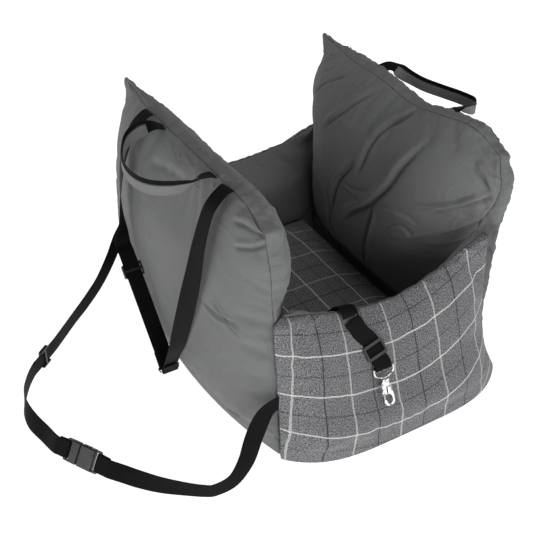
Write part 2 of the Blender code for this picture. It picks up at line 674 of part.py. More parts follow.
rear_bar = at_buckle(0, 0.0318)
BELT_GLIDE_AT = Vector((-0.4870, 0.1120, 0.0195))
BELT_DIR = Vector((0.760, 0.650, 0.0)).normalized()
route, sides = [], []
for q in reversed(wrap(rear_bar, BUCKLE_DIR, face, BAR_R, 0.020)):
    route.append(tuple(q))
    sides.append(tuple(BUCKLE_SIDE))
for q in (at_buckle(0, 0.044, BAR_R), at_buckle(0, 0.056, BAR_R * 0.8)):
    route.append(tuple(q))
    sides.append(tuple(BUCKLE_SIDE))
for q, side in (((-0.5500, -0.0680, 0.0146), (0.58, 0.20, 0.79)),
                ((-0.5580, -0.0330, 0.0146), (0.60, 0.06, 0.80)),
                ((-0.5590, 0.0020, 0.0158), (0.36, -0.06, 0.93)),
                ((-0.5510, 0.0330, 0.0172), (0.05, 0.0, 1)),
                ((-0.5340, 0.0640, 0.0188), (0, 0, 1))):
    route.append(q)
    sides.append(side)
for s in (-0.038, -0.026, 0.0, 0.026, 0.038):
    route.append(tuple(BELT_GLIDE_AT + BELT_DIR * s))
    sides.append((0, 0, 1))
for q, side in (((-0.4320, 0.1620, 0.0190), (0, 0, 1)), ((-0.4000, 0.1920, 0.0200), (0, 0, 1)),
                ((-0.3620, 0.2220, 0.0260), (-0.1, 0, 1)), ((-0.3220, 0.2480, 0.0440), (-0.3, -0.1, 0.9)),
                ((-0.2860, 0.2680, 0.0780), (-0.45, -0.1, 0.85)), ((-0.2600, 0.2830, 0.1110), (-0.3, 0, 0.95)),
                ((-0.2390, 0.2990, 0.1250), (-0.1, 0, 1)), ((-0.2250, 0.3015, 0.1270), (0, 0, 1))):
    route.append(q)
    sides.append(side)
strap("belt_strap_rear", route, sides, WEB, WEBBING, 2)
tri_glide("belt_adjuster", frame_of(BELT_GLIDE_AT, BELT_DIR, (0, 0, 1)), BLACK_PLASTIC)

# side-release buckle: socket half with side windows, plug half with a tongue and two
# springy prongs
socket = add("buckle_socket", box_bm((BUCKLE_W, 0.040, 0.0110), (0, -0.0140, 0), 0.0022, 2),
             BLACK_PLASTIC, buckle)
boolean(socket, tool("socket_cavity", box_bm((0.0310, 0.024, 0.0066), (0, -0.0030, 0)), buckle))
boolean(socket, tool("socket_windows", box_bm((0.050, 0.0105, 0.0066), (0, -0.0070, 0)), buckle))
boolean(socket, tool("socket_slot", box_bm((0.0320, 0.0062, 0.02), (0, -0.0263, 0)), buckle))
for k, s in enumerate((-1, 1)):
    boolean(socket, tool("socket_thin%d" % k,
                         box_bm((0.060, 0.0160, 0.01), (0, -0.0305, s * (0.005 + 0.0021))),
                         buckle))
plug = add("buckle_plug", box_bm((BUCKLE_W, 0.0270, 0.0100), (0, 0.0209, 0), 0.0020, 2),
           BLACK_PLASTIC, buckle)
boolean(plug, tool("plug_tongue", box_bm((0.0075, 0.020, 0.0044), (0, 0.0000, 0)), buckle),
        "UNION")
boolean(plug, tool("plug_slot", box_bm((0.0320, 0.0062, 0.02), (0, 0.0263, 0)), buckle))
for k, s in enumerate((-1, 1)):
    boolean(plug, tool("plug_thin%d" % k,
                       box_bm((0.060, 0.0140, 0.01), (0, 0.0300, s * (0.005 + 0.0021))),
                       buckle))
for word, s in (("upper", 1), ("lower", -1)):
    outline = [(9.4, 7.0), (12.8, 7.0), (12.9, -0.6), (14.2, -3.4), (18.2, -3.6),
               (18.7, -6.2), (18.0, -9.4), (15.0, -11.2), (11.0, -11.4), (9.9, -9.0),
               (9.6, -2.0)]
    loop = [(s * x * 0.001, y * 0.001) for x, y in outline]
    if s < 0:
        loop.reverse()
    plate("buckle_prong_" + word, [loop], 0.0026, BLACK_PLASTIC, buckle)

# ---------------------------------------------------------------- restraint leash
# Webbing sewn inside the front wall, over its top edge and down its plaid face.
LEASH_TOP = Vector((-0.0980, -0.2920, 0.2340))
anchor = [(-0.0940, -0.2270, 0.1500), (-0.0940, -0.2280, 0.1850), (-0.0938, -0.2400, 0.2080),
          (-0.0934, -0.2520, 0.2260), (-0.0928, -0.2630, 0.2410), (-0.0922, -0.2740, 0.2500),
          (-0.0914, -0.2850, 0.2470), (-0.0908, -0.2915, 0.2395)]
strap("leash_anchor_strap", anchor, [(1, 0, -0.05)] * 3 + [(1, 0, -0.2)] * 3
      + [(1, 0, -0.1), (1, 0, 0.05)], WEB, WEBBING, 3)

leash_axis = empty("leash_axis", LEASH_TOP)
HOOK_AT = Vector((-0.0547, -0.3392, 0.1524))       # middle of the snap eye's webbing bar
LEASH_GLIDE_AT = Vector((-0.0622, -0.3202, 0.1796))
leash_dir = (HOOK_AT - LEASH_GLIDE_AT).normalized()
LEASH_SIDE = Vector((1.0, 0.0, 0.12))
leash_side = (LEASH_SIDE - leash_dir * LEASH_SIDE.dot(leash_dir)).normalized()
leash_face = leash_side.cross(leash_dir)            # out from the wall
if leash_face.y > 0:
    leash_face = -leash_face
# below the adjuster the strap turns to hang straight, with the eye square to it
hook_run = Vector((0.0, -0.56, -0.83)).normalized()
hook_side = (LEASH_SIDE - hook_run * LEASH_SIDE.dot(hook_run)).normalized()
hook_face = hook_side.cross(hook_run)
if hook_face.y > 0:
    hook_face = -hook_face
EYE_R = 0.0017 + WEB_T / 2 + 0.0006
route = [(-0.0900, -0.2935, 0.2335), (-0.0855, -0.2990, 0.2250), (-0.0780, -0.3068, 0.2090)]
sides = [tuple(LEASH_SIDE)] * 3
for s in (0.018, 0.009, 0.0, -0.009, -0.016):
    route.append(tuple(LEASH_GLIDE_AT - leash_dir * s + leash_face * EYE_R))
    sides.append(tuple(leash_side))
route.append(tuple(HOOK_AT - hook_run * 0.008 + hook_face * EYE_R))
sides.append(tuple(hook_side))
for q in wrap(HOOK_AT, -hook_run, hook_face, EYE_R, 0.016):
    route.append(tuple(q))
    sides.append(tuple(hook_side))
strap("leash_strap", route, sides, WEB, WEBBING, 3, parent=leash_axis)
leash_glide = frame_of(LEASH_GLIDE_AT + leash_face * EYE_R, -leash_dir, leash_side)
if (leash_glide.to_3x3() @ Vector((0, 0, 1))).y > 0:
    leash_glide = frame_of(LEASH_GLIDE_AT + leash_face * EYE_R, leash_dir, leash_side)
tri_glide("leash_adjuster", leash_glide, DARK_PLASTIC, leash_axis)

# bolt snap. Local X across, Y down along the hook, Z out from the wall.
HOOK_DIR = Vector((-0.07, -0.365, -0.928))
HOOK_DIR = (HOOK_DIR - hook_side * HOOK_DIR.dot(hook_side)).normalized()
hook = frame_of(HOOK_AT, HOOK_DIR, -hook_side)     # local -X is to the right, +Z outwards
FLIP = -1.0
eye_pts = [(17.8, 0.0), (18.0, 6.0), (17.2, 9.6), (14.0, 12.6), (9.0, 14.6), (4.6, 16.6),
           (0.0, 17.4), (-4.6, 16.6), (-9.0, 14.6), (-14.0, 12.6), (-17.2, 9.6),
           (-18.0, 6.0), (-17.8, 0.0)]
eye = wire_loop("snap_eye", [(x * 0.001, y * 0.001, 0.0) for x, y in eye_pts], 0.0017,
                CHROME, hook, leash_axis, 2)
boolean(eye, tool("eye_stud", cylinder_bm(0.0021, 0.0166, 0.0260), hook), "UNION")
boolean(eye, tool("eye_rivet", cylinder_bm(0.0034, 0.0258, 0.0272), hook), "UNION")


def snap_outline():
    """The snap body: a tapering arm that curls round the eye to the bolt's tip."""
    cy = 58.0
    pts = [(-5.2, 19.6), (5.2, 19.6), (5.6, 24.0), (7.2, 34.0), (9.0, 46.0)]
    for k in range(9):
        a = math.radians(-18 + 200 * k / 8)
        pts.append((0.6 + 9.9 * math.cos(a), cy + 10.6 * math.sin(a)))
    pts += [(-9.2, 55.6), (-4.9, 55.6)]
    for k in range(9):
        a = math.radians(168 - 182 * k / 8)
        pts.append((0.9 + 5.7 * math.cos(a), cy + 6.2 * math.sin(a)))
    pts += [(5.6, 51.6), (2.6, 47.4), (-2.6, 46.6), (-9.2, 46.6), (-9.2, 27.0)]
    return [(FLIP * x * 0.001, y * 0.001) for x, y in pts]


loop = snap_outline()
if FLIP < 0:
    loop.reverse()
body = plate("snap_body", [loop], 0.0028, CHROME, hook, leash_axis)
boolean(body, tool("snap_collar", cylinder_bm(0.0054, 0.0196, 0.0300), hook), "UNION")
boolean(body, tool("snap_barrel", cylinder_bm(0.0034, 0.0268, 0.0466,
                                              (-0.0066 * FLIP, 0), 16), hook), "UNION")
boolean(body, tool("snap_swivel_bore", cylinder_bm(0.0026, 0.0150, 0.0252), hook))
boolean(body, tool("snap_swivel_room", cylinder_bm(0.0040, 0.0252, 0.0278), hook))
boolean(body, tool("snap_bolt_bore", cylinder_bm(0.0020, 0.0285, 0.0500,
                                                 (-0.0066 * FLIP, 0), 16), hook))
boolean(body, tool("snap_thumb_slot", box_bm((0.0060, 0.0142, 0.0026),
                                             (-0.0096 * FLIP, 0.0380, 0)), hook))
boolean(body, tool("snap_rib_slot", box_bm((0.0026, 0.0130, 0.0080),
                                           (-0.0012 * FLIP, 0.0392, 0)), hook))
bolt = add("snap_bolt", cylinder_bm(0.0016, 0.0410, 0.0552, (-0.0066 * FLIP, 0), 16),
           CHROME, hook, leash_axis)
boolean(bolt, tool("bolt_thumb", box_bm((0.0050, 0.0034, 0.0020),
                                        (-0.0091 * FLIP, 0.0428, 0), 0.0004, 1), hook), "UNION")

cu = bpy.data.curves.new("snap_spring", "CURVE")
cu.dimensions = "3D"
turns, per_turn = 6, 8
sp = cu.splines.new("POLY")
sp.points.add(turns * per_turn)
for k, p in enumerate(sp.points):
    a = 2 * math.pi * k / per_turn
    p.co = (-0.0066 * FLIP + 0.0012 * math.cos(a), 0.0292 + 0.0112 * k / (turns * per_turn),
            0.0012 * math.sin(a), 1.0)
cu.bevel_depth = 0.00025
cu.bevel_resolution = 0
cu.use_fill_caps = True
spring = bpy.data.objects.new("snap_spring", cu)
cu.materials.append(SPRING)
SEAT.objects.link(spring)
spring.parent = leash_axis
bpy.context.view_layer.update()
spring.matrix_world = hook

bpy.context.view_layer.update()
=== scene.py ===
"""Looks of the padded dog car seat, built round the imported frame.

Metres, +Z up, the same frame as the CAD. The cords and the camera come first, then the
stuffed pieces, the sewn straps, the hardware, the materials and the light.
"""
import json
import math

import bmesh
import bpy
import numpy as np
from mathutils import Matrix, Vector, kdtree, noise

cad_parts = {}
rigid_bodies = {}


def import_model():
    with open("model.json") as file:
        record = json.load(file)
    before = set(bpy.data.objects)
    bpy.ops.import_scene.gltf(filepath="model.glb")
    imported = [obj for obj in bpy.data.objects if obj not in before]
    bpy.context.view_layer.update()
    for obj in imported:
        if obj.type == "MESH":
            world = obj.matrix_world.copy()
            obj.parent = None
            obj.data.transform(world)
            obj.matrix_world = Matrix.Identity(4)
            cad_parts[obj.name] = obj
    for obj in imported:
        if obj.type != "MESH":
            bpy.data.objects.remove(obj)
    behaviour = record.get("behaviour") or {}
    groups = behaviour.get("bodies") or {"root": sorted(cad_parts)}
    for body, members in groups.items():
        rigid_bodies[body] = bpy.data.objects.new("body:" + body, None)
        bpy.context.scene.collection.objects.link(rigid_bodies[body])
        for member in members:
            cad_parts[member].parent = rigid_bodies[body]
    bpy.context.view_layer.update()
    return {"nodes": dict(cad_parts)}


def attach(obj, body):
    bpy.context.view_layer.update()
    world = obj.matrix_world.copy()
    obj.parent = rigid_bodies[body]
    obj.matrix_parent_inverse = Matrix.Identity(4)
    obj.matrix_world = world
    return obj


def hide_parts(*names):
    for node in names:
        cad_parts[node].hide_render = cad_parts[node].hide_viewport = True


for stale in list(bpy.data.objects):
    bpy.data.objects.remove(stale, do_unlink=True)
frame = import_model()
SCENE = bpy.context.scene

# ---------------------------------------------------------------- camera
EYE = Vector((-0.757, -1.180, 1.146))
AZ, EL, ROLL = (math.radians(a) for a in (-30.24, 36.47, 0.15))
back = Vector((math.sin(AZ) * math.cos(EL), -math.cos(AZ) * math.cos(EL), math.sin(EL)))
right = Vector((math.cos(AZ), math.sin(AZ), 0.0))
up = back.cross(right)
turned_right = right * math.cos(ROLL) + up * math.sin(ROLL)
turned_up = up * math.cos(ROLL) - right * math.sin(ROLL)
cam_data = bpy.data.cameras.new("camera")
cam_data.sensor_width = 36.0
cam_data.lens = 60.2
cam_data.clip_start = 0.01
cam_data.clip_end = 50.0
camera = bpy.data.objects.new("camera", cam_data)
m = Matrix((turned_right, turned_up, back)).transposed().to_4x4()
m.translation = EYE
camera.matrix_world = m
SCENE.collection.objects.link(camera)
SCENE.camera = camera
SCENE.view_settings.view_transform = "Standard"


# ---------------------------------------------------------------- node helpers
class Graph:
    """A Principled material and short ways to add nodes to it."""

    def __init__(self, name, rough=0.8, metal=0.0):
        self.mat = bpy.data.materials.new(name)
        self.mat.use_nodes = True
        self.tree = self.mat.node_tree
        self.bsdf = self.tree.nodes["Principled BSDF"]
        self.bsdf.inputs["Roughness"].default_value = rough
        self.bsdf.inputs["Metallic"].default_value = metal

    def add(self, kind, **props):
        n = self.tree.nodes.new(kind)
        for k, v in props.items():
            setattr(n, k, v)
        return n

    def put(self, value, socket):
        if isinstance(value, bpy.types.NodeSocket):
            self.tree.links.new(value, socket)
        else:
            socket.default_value = value

    def math(self, op, a, b=None, c=None, clamp=False):
        n = self.add("ShaderNodeMath", operation=op, use_clamp=clamp)
        for k, v in enumerate((a, b, c)):
            if v is not None:
                self.put(v, n.inputs[k])
        return n.outputs[0]

    def band(self, x, low, high):
        """1 below low, 0 above high, smooth between."""
        n = self.add("ShaderNodeMapRange", interpolation_type="SMOOTHSTEP")
        self.put(x, n.inputs["Value"])
        for k, v in (("From Min", low), ("From Max", high), ("To Min", 1.0), ("To Max", 0.0)):
            self.put(v, n.inputs[k])
        return n.outputs["Result"]

    def scale_to(self, x, low, high, to_low, to_high):
        n = self.add("ShaderNodeMapRange")
        self.put(x, n.inputs["Value"])
        for k, v in (("From Min", low), ("From Max", high), ("To Min", to_low),
                     ("To Max", to_high)):
            self.put(v, n.inputs[k])
        return n.outputs["Result"]

    def mix(self, fac, a, b, blend="MIX"):
        n = self.add("ShaderNodeMix", data_type="RGBA", blend_type=blend)
        self.put(fac, n.inputs[0])
        self.put(a, n.inputs[6])
        self.put(b, n.inputs[7])
        return n.outputs[2]

    def uv(self, name="cloth"):
        return self.add("ShaderNodeUVMap", uv_map=name).outputs[0]

    def attr(self, name):
        return self.add("ShaderNodeAttribute", attribute_name=name).outputs["Fac"]

    def place(self, vec, scale=(1, 1, 1), rotation=(0, 0, 0), offset=(0, 0, 0)):
        n = self.add("ShaderNodeMapping")
        self.put(vec, n.inputs["Vector"])
        n.inputs["Scale"].default_value = scale
        n.inputs["Rotation"].default_value = rotation
        n.inputs["Location"].default_value = offset
        return n.outputs[0]

    def noise(self, vec, scale, detail=3.0, rough=0.5):
        n = self.add("ShaderNodeTexNoise")
        self.put(vec, n.inputs["Vector"])
        n.inputs["Scale"].default_value = scale
        n.inputs["Detail"].default_value = detail
        n.inputs["Roughness"].default_value = rough
        return n.outputs[0]

    def split(self, vec):
        n = self.add("ShaderNodeSeparateXYZ")
        self.put(vec, n.inputs[0])
        return n.outputs

    def join(self, x, y, z=0.0):
        n = self.add("ShaderNodeCombineXYZ")
        for k, v in enumerate((x, y, z)):
            self.put(v, n.inputs[k])
        return n.outputs[0]

    def bump(self, height, distance, strength=1.0, normal=None):
        n = self.add("ShaderNodeBump")
        self.put(height, n.inputs["Height"])
        n.inputs["Distance"].default_value = distance
        n.inputs["Strength"].default_value = strength
        if normal is not None:
            self.put(normal, n.inputs["Normal"])
        return n.outputs[0]

    def weave(self, uv, pitch):
        """Height of a plain weave with that thread pitch, 0 to 1."""
        s = self.split(uv)
        w = 2 * math.pi / (2 * pitch)
        a = self.math("SINE", self.math("MULTIPLY", s[0], w))
        b = self.math("SINE", self.math("MULTIPLY", s[1], w))
        return self.math("MULTIPLY_ADD", self.math("MULTIPLY", a, b), 0.5, 0.5)


def grey(v, tint=(1.0, 1.0, 1.0)):
    return (v * tint[0], v * tint[1], v * tint[2], 1.0)


CANVAS_TINT = (0.985, 1.0, 1.0)


def canvas_material(name, level, tint=CANVAS_TINT):
    """Plain-woven polyester canvas with faint slubs, a soft bloom and painted shade along the seams."""
    g = Graph(name, 0.86)
    uv = g.uv()
    broad = g.noise(uv, 9.0, 2.0)
    slub_a = g.noise(g.place(uv, (26.0, 900.0, 1)), 1.0, 2.0, 0.6)
    slub_b = g.noise(g.place(uv, (1100.0, 22.0, 1), offset=(3.1, 1.7, 0)), 1.0, 2.0, 0.6)
    thread = g.noise(uv, 1500.0, 1.0)
    tone = g.math("ADD", g.scale_to(broad, 0.3, 0.7, 0.95, 1.05),
                  g.scale_to(slub_a, 0.3, 0.7, -0.10, 0.10))
    tone = g.math("ADD", tone, g.scale_to(slub_b, 0.3, 0.7, -0.05, 0.05))
    tone = g.math("ADD", tone, g.scale_to(thread, 0.25, 0.75, -0.12, 0.12))
    # painted shade: within about a millimetre of each seam, where the cloth pinches into a groove, the colour
    # drops to under a third
    seam = g.band(g.attr("seam"), 0.0003, 0.0013)
    tone = g.math("MULTIPLY", tone, g.math("MULTIPLY_ADD", seam, -0.72, 1.0))
    colour = g.mix(1.0, grey(level, tint), g.join(tone, tone, tone), "MULTIPLY")
    g.put(colour, g.bsdf.inputs["Base Color"])
    g.put(g.scale_to(slub_a, 0.3, 0.7, 0.80, 0.92), g.bsdf.inputs["Roughness"])
    height = g.math("MULTIPLY_ADD", slub_a, 0.9, g.weave(uv, 0.00042))
    height = g.math("MULTIPLY_ADD", slub_b, 0.5, height)
    g.put(g.bump(height, 0.00012, 0.55), g.bsdf.inputs["Normal"])
    g.bsdf.inputs["Sheen Weight"].default_value = 0.12
    g.bsdf.inputs["Sheen Roughness"].default_value = 0.45
    g.bsdf.inputs["Specular IOR Level"].default_value = 0.28
    return g.mat


def plaid_material(name, level):
    """Melange flannel with a windowpane of double white and thin dark lines.

    The cloth UV is in metres; whole numbers of the "check" UV are the white lines and
    halves are the dark ones.
    """
    g = Graph(name, 0.93)
    uv = g.uv()
    check = g.uv("check")
    wob = g.noise(uv, 26.0, 1.0)
    wob2 = g.noise(g.place(uv, offset=(5.2, 8.1, 0)), 26.0, 1.0)
    s = g.split(check)
    cu = g.math("ADD", s[0], g.scale_to(wob, 0.3, 0.7, -0.012, 0.012))
    cv = g.math("ADD", s[1], g.scale_to(wob2, 0.3, 0.7, -0.014, 0.014))
    m = g.split(uv)

    def off_line(c, period, shift):
        """Distance in metres to the nearest line."""
        f = g.math("WRAP", g.math("SUBTRACT", c, shift), 0.5, -0.5)
        return g.math("MULTIPLY", f, period)

    flecks = g.noise(uv, 430.0, 2.0, 0.75)
    fine = g.noise(g.place(uv, offset=(2.3, 4.9, 0)), 1150.0, 1.0, 0.6)
    fibres = g.noise(g.place(uv, (300.0, 1100.0, 1)), 1.0, 1.0, 0.6)
    broad = g.noise(uv, 60.0, 2.0)
    tone = g.scale_to(flecks, 0.36, 0.64, 0.20, 1.85)
    tone = g.math("MULTIPLY", tone, g.scale_to(fine, 0.3, 0.7, 0.55, 1.45))
    tone = g.math("ADD", tone, g.scale_to(fibres, 0.3, 0.7, -0.34, 0.34))
    tone = g.math("MULTIPLY", tone, g.scale_to(broad, 0.3, 0.7, 0.94, 1.06))
    tone = g.math("MAXIMUM", tone, 0.06)
    base = g.mix(1.0, grey(level, (0.985, 0.995, 1.025)), g.join(tone, tone, tone), "MULTIPLY")

    chain = 0.0034          # length of one stitch of the white line
    broken = g.scale_to(flecks, 0.3, 0.7, 0.55, 1.25)
    white = []
    for c, period, along, reach, full in ((cu, 0.0905, m[1], 0.0008, 0.60),
                                          (cv, 0.0755, m[0], 0.0007, 0.92)):
        d = off_line(c, period, 0.0)
        beat = g.math("SINE", g.math("MULTIPLY", along, 2 * math.pi / chain))
        beat = g.math("MULTIPLY_ADD", beat, 0.5, 0.5)
        one = g.band(g.math("ABSOLUTE", g.math("SUBTRACT", d, reach)), 0.0003, reach + 0.0001)
        two = g.band(g.math("ABSOLUTE", g.math("ADD", d, reach)), 0.0003, reach + 0.0001)
        one = g.math("MULTIPLY", one, g.math("MULTIPLY_ADD", beat, 0.55, 0.35))
        two = g.math("MULTIPLY", two, g.math("MULTIPLY_ADD", beat, -0.55, 0.90))
        line = g.math("MULTIPLY", g.math("ADD", one, two, clamp=True), broken)
        white.append(g.math("MULTIPLY", line, full))
    dark = []
    for c, period, along, dots in ((cu, 0.0905, m[1], 0.30), (cv, 0.0755, m[0], 0.9)):
        d = g.math("ABSOLUTE", off_line(c, period, 0.5))
        beat = g.math("SINE", g.math("MULTIPLY", along, 2 * math.pi / 0.0036))
        beat = g.math("MULTIPLY_ADD", beat, dots / 2, 1 - dots / 2)
        dark.append(g.math("MULTIPLY", g.band(d, 0.0007, 0.0015), beat))
    blacks = g.math("MAXIMUM", dark[0], dark[1])
    colour = g.mix(g.math("MULTIPLY", blacks, 0.92), base, (0.012, 0.012, 0.014, 1))
    whites = g.math("MULTIPLY", g.math("MAXIMUM", white[0], white[1]), 1.45, clamp=True)
    cross = g.math("MULTIPLY", white[0], white[1])
    whites = g.math("ADD", whites, g.math("MULTIPLY", cross, 0.5), clamp=True)
    colour = g.mix(whites, colour, (0.86, 0.86, 0.85, 1))
    # painted shade: within a millimetre or so of each seam, where the cloth pinches into a groove, the colour
    # is pulled most of the way to black
    seam = g.band(g.attr("seam"), 0.0004, 0.0016)
    colour = g.mix(g.math("MULTIPLY", seam, 0.75), colour, (0.02, 0.02, 0.02, 1))
    g.put(colour, g.bsdf.inputs["Base Color"])
    height = g.math("MULTIPLY_ADD", whites, 0.8, g.math("MULTIPLY_ADD", fibres, 0.8, flecks))
    g.put(g.bump(height, 0.00025, 0.7), g.bsdf.inputs["Normal"])
    g.bsdf.inputs["Sheen Weight"].default_value = 0.22
    g.bsdf.inputs["Sheen Roughness"].default_value = 0.55
    g.bsdf.inputs["Specular IOR Level"].default_value = 0.15
    return g.mat


def webbing_material(name, level, rough=0.62):
    """Flat woven strap: ribs across it, rows along it and a painted highlight along both selvedges."""
    g = Graph(name, rough)
    uv = g.uv()
    s = g.split(uv)                       # x along the strap, y across it from its middle
    rib = g.math("SINE", g.math("MULTIPLY", s[0], 2 * math.pi / 0.0017))
    row = g.math("SINE", g.math("MULTIPLY", s[1], 2 * math.pi / 0.0020))
    chev = g.math("SINE", g.math("MULTIPLY_ADD", g.math("PINGPONG", s[1], 0.0038), 1900.0,
                                 g.math("MULTIPLY", s[0], 2 * math.pi / 0.0017)))
    fuzz = g.noise(uv, 700.0, 2.0)
    broad = g.noise(uv, 30.0, 2.0)
    tone = g.math("ADD", g.scale_to(chev, -1.0, 1.0, 0.78, 1.22),
                  g.scale_to(fuzz, 0.3, 0.7, -0.2, 0.2))
    tone = g.math("MULTIPLY", tone, g.scale_to(broad, 0.3, 0.7, 0.88, 1.12))
    # painted highlight: right at both selvedges, where the edge catches light, the colour is about a quarter
    # lighter
    edge = g.attr("rim")
    tone = g.math("MULTIPLY_ADD", g.band(g.math("SUBTRACT", 1.0, edge), 0.02, 0.14), 0.25, tone)
    g.put(g.mix(1.0, grey(level), g.join(tone, tone, tone), "MULTIPLY"),
          g.bsdf.inputs["Base Color"])
    height = g.math("MULTIPLY_ADD", rib, 0.35, g.math("MULTIPLY_ADD", chev, 0.5, row))
    g.put(g.bump(height, 0.00012, 0.6), g.bsdf.inputs["Normal"])
    g.put(g.scale_to(fuzz, 0.3, 0.7, rough - 0.08, rough + 0.10), g.bsdf.inputs["Roughness"])
    g.bsdf.inputs["Sheen Weight"].default_value = 0.01
    g.bsdf.inputs["Sheen Roughness"].default_value = 0.4
    g.bsdf.inputs["Specular IOR Level"].default_value = 0.09
    return g.mat


def plastic_material(name, level, rough=0.36, edge=0.0004):
    """Moulded acetal: fine spark texture, faint flow marks, softened edges."""
    g = Graph(name, rough)
    co = g.add("ShaderNodeTexCoord").outputs["Object"]
    grain = g.noise(co, 3200.0, 2.0, 0.6)
    flow = g.noise(g.place(co, (60, 60, 220)), 1.0, 3.0)
    tone = g.math("MULTIPLY", g.scale_to(grain, 0.3, 0.7, 0.9, 1.1),
                  g.scale_to(flow, 0.3, 0.7, 0.85, 1.15))
    g.put(g.mix(1.0, grey(level, (0.98, 0.99, 1.02)), g.join(tone, tone, tone), "MULTIPLY"),
          g.bsdf.inputs["Base Color"])
    g.put(g.scale_to(flow, 0.3, 0.7, rough - 0.06, rough + 0.10), g.bsdf.inputs["Roughness"])
    bevel = g.add("ShaderNodeBevel", samples=6)
    bevel.inputs["Radius"].default_value = edge
    g.put(g.bump(grain, 0.00004, 0.35, bevel.outputs[0]), g.bsdf.inputs["Normal"])
    return g.mat


def metal_material(name, level, rough, edge=0.0006):
    """Bright plated metal with faint polishing marks and painted dark and bright reflection patches in its
    colour.
    """
    g = Graph(name, rough, 1.0)
    co = g.add("ShaderNodeTexCoord").outputs["Object"]
    painted_reflection_noise = g.noise(co, 120.0, 2.0)
    marks = g.noise(g.place(co, (300, 5200, 300)), 1.0, 2.0, 0.6)
    # painted reflection: blotches several millimetres across turn the colour down to about a third, standing
    # in for dark surroundings mirrored in the chrome
    g.put(g.mix(g.scale_to(painted_reflection_noise, 0.38, 0.52, 0.0, 1.0), grey(level * 0.34, (1, 1, 1.02)),
                grey(level, (1, 1, 1.01))), g.bsdf.inputs["Base Color"])
    g.put(g.scale_to(marks, 0.25, 0.75, rough * 0.75, rough * 1.5),
          g.bsdf.inputs["Roughness"])
    bevel = g.add("ShaderNodeBevel", samples=6)
    bevel.inputs["Radius"].default_value = edge
    g.put(g.bump(painted_reflection_noise, 0.00003, 0.3, bevel.outputs[0]), g.bsdf.inputs["Normal"])
    return g.mat


def thread_material(name, level):
    g = Graph(name, 0.6)
    co = g.add("ShaderNodeTexCoord").outputs["Object"]
    ply = g.noise(co, 2600.0, 1.0)
    tone = g.scale_to(ply, 0.3, 0.7, 0.75, 1.25)
    g.put(g.mix(1.0, grey(level), g.join(tone, tone, tone), "MULTIPLY"),
          g.bsdf.inputs["Base Color"])
    g.put(g.bump(ply, 0.00005, 0.5), g.bsdf.inputs["Normal"])
    g.bsdf.inputs["Sheen Weight"].default_value = 0.2
    return g.mat


CANVAS = canvas_material("grey_canvas", 0.165)
LINING = canvas_material("grey_lining", 0.170, (1.0, 1.0, 0.985))
PLAID = plaid_material("grey_plaid", 0.158)
WEBBING = webbing_material("black_webbing", 0.0050)
TAPE = canvas_material("grey_handle_tape", 0.17)
BLACK_PLASTIC = plastic_material("black_plastic", 0.011)
DARK_PLASTIC = plastic_material("dark_grey_plastic", 0.030, 0.42)
CHROME = metal_material("chrome", 0.86, 0.10)
SPRING = metal_material("spring_steel", 0.62, 0.25, 0.0002)
BLACK_THREAD = thread_material("black_thread", 0.02)
GREY_THREAD = thread_material("grey_thread", 0.13)
DARK_THREAD = thread_material("dark_grey_thread", 0.045)


# ---------------------------------------------------------------- mesh helpers
def coords(mesh):
    co = np.empty(len(mesh.vertices) * 3)
    mesh.vertices.foreach_get("co", co)
    return co.reshape(-1, 3)


def put_coords(mesh, co):
    mesh.vertices.foreach_set("co", np.ascontiguousarray(co, dtype=np.float32).ravel())
    mesh.update()


def normals(mesh):
    no = np.empty(len(mesh.vertices) * 3)
    mesh.vertex_normals.foreach_get("vector", no)
    return no.reshape(-1, 3)


def applied(ob):
    """The object's mesh becomes what its modifiers make of it."""
    bpy.context.view_layer.update()
    done = bpy.data.meshes.new_from_object(
        ob.evaluated_get(bpy.context.evaluated_depsgraph_get()), preserve_all_data_layers=True,
        depsgraph=bpy.context.evaluated_depsgraph_get())
    old = ob.data
    ob.modifiers.clear()
    ob.data = done
    bpy.data.meshes.remove(old)
    return ob


def show(name, mesh, materials, body, slot, *nodes):
    """A finished piece: linked, smooth, riding on its body and standing for CAD nodes."""
    mesh.materials.clear()
    for one in materials if isinstance(materials, (list, tuple)) else [materials]:
        mesh.materials.append(one)
    mesh.shade_smooth()
    ob = bpy.data.objects.new(name, mesh)
    SCENE.collection.objects.link(ob)
    if body:
        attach(ob, body)
    if nodes:
        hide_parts(*nodes)
    return ob


def catmull(points, per_span):
    p = np.array(points, dtype=float)
    p = np.vstack([2 * p[0] - p[1], p, 2 * p[-1] - p[-2]])
    out = []
    for i in range(1, len(p) - 2):
        a, b, c, d = p[i - 1], p[i], p[i + 1], p[i + 2]
        for k in range(per_span):
            t = k / per_span
            out.append(0.5 * ((2 * b) + (-a + c) * t + (2 * a - 5 * b + 4 * c - d) * t * t
                              + (-a + 3 * b - 3 * c + d) * t ** 3))
    out.append(p[-2])
    return np.array(out)


def unit(a):
    return a / np.maximum(np.linalg.norm(a, axis=-1, keepdims=True), 1e-12)


WEB = 0.030
WEB_T = 0.0015
GRIP = 0.025
RING_WIRE = 0.0016


def strap_frames(route, sides, keep=None, per_span=10, step=0.0026):
    """Evenly spaced places along a strap, with its across and face directions."""
    path = catmull(route, per_span)
    across = catmull(sides, per_span)
    if keep:
        k = slice(round(keep[0] * per_span), round(keep[1] * per_span) + 1)
        path, across = path[k], across[k]
    length = np.concatenate([[0], np.cumsum(np.linalg.norm(np.diff(path, axis=0), axis=1))])
    n = max(8, int(round(length[-1] / step)))
    at = np.linspace(0, length[-1], n + 1)
    path = np.stack([np.interp(at, length, path[:, k]) for k in range(3)], 1)
    across = np.stack([np.interp(at, length, across[:, k]) for k in range(3)], 1)
    tangent = unit(np.gradient(path, axis=0))
    across = unit(across - tangent * np.sum(across * tangent, axis=1)[:, None])
    return path, across, np.cross(tangent, across), tangent, at


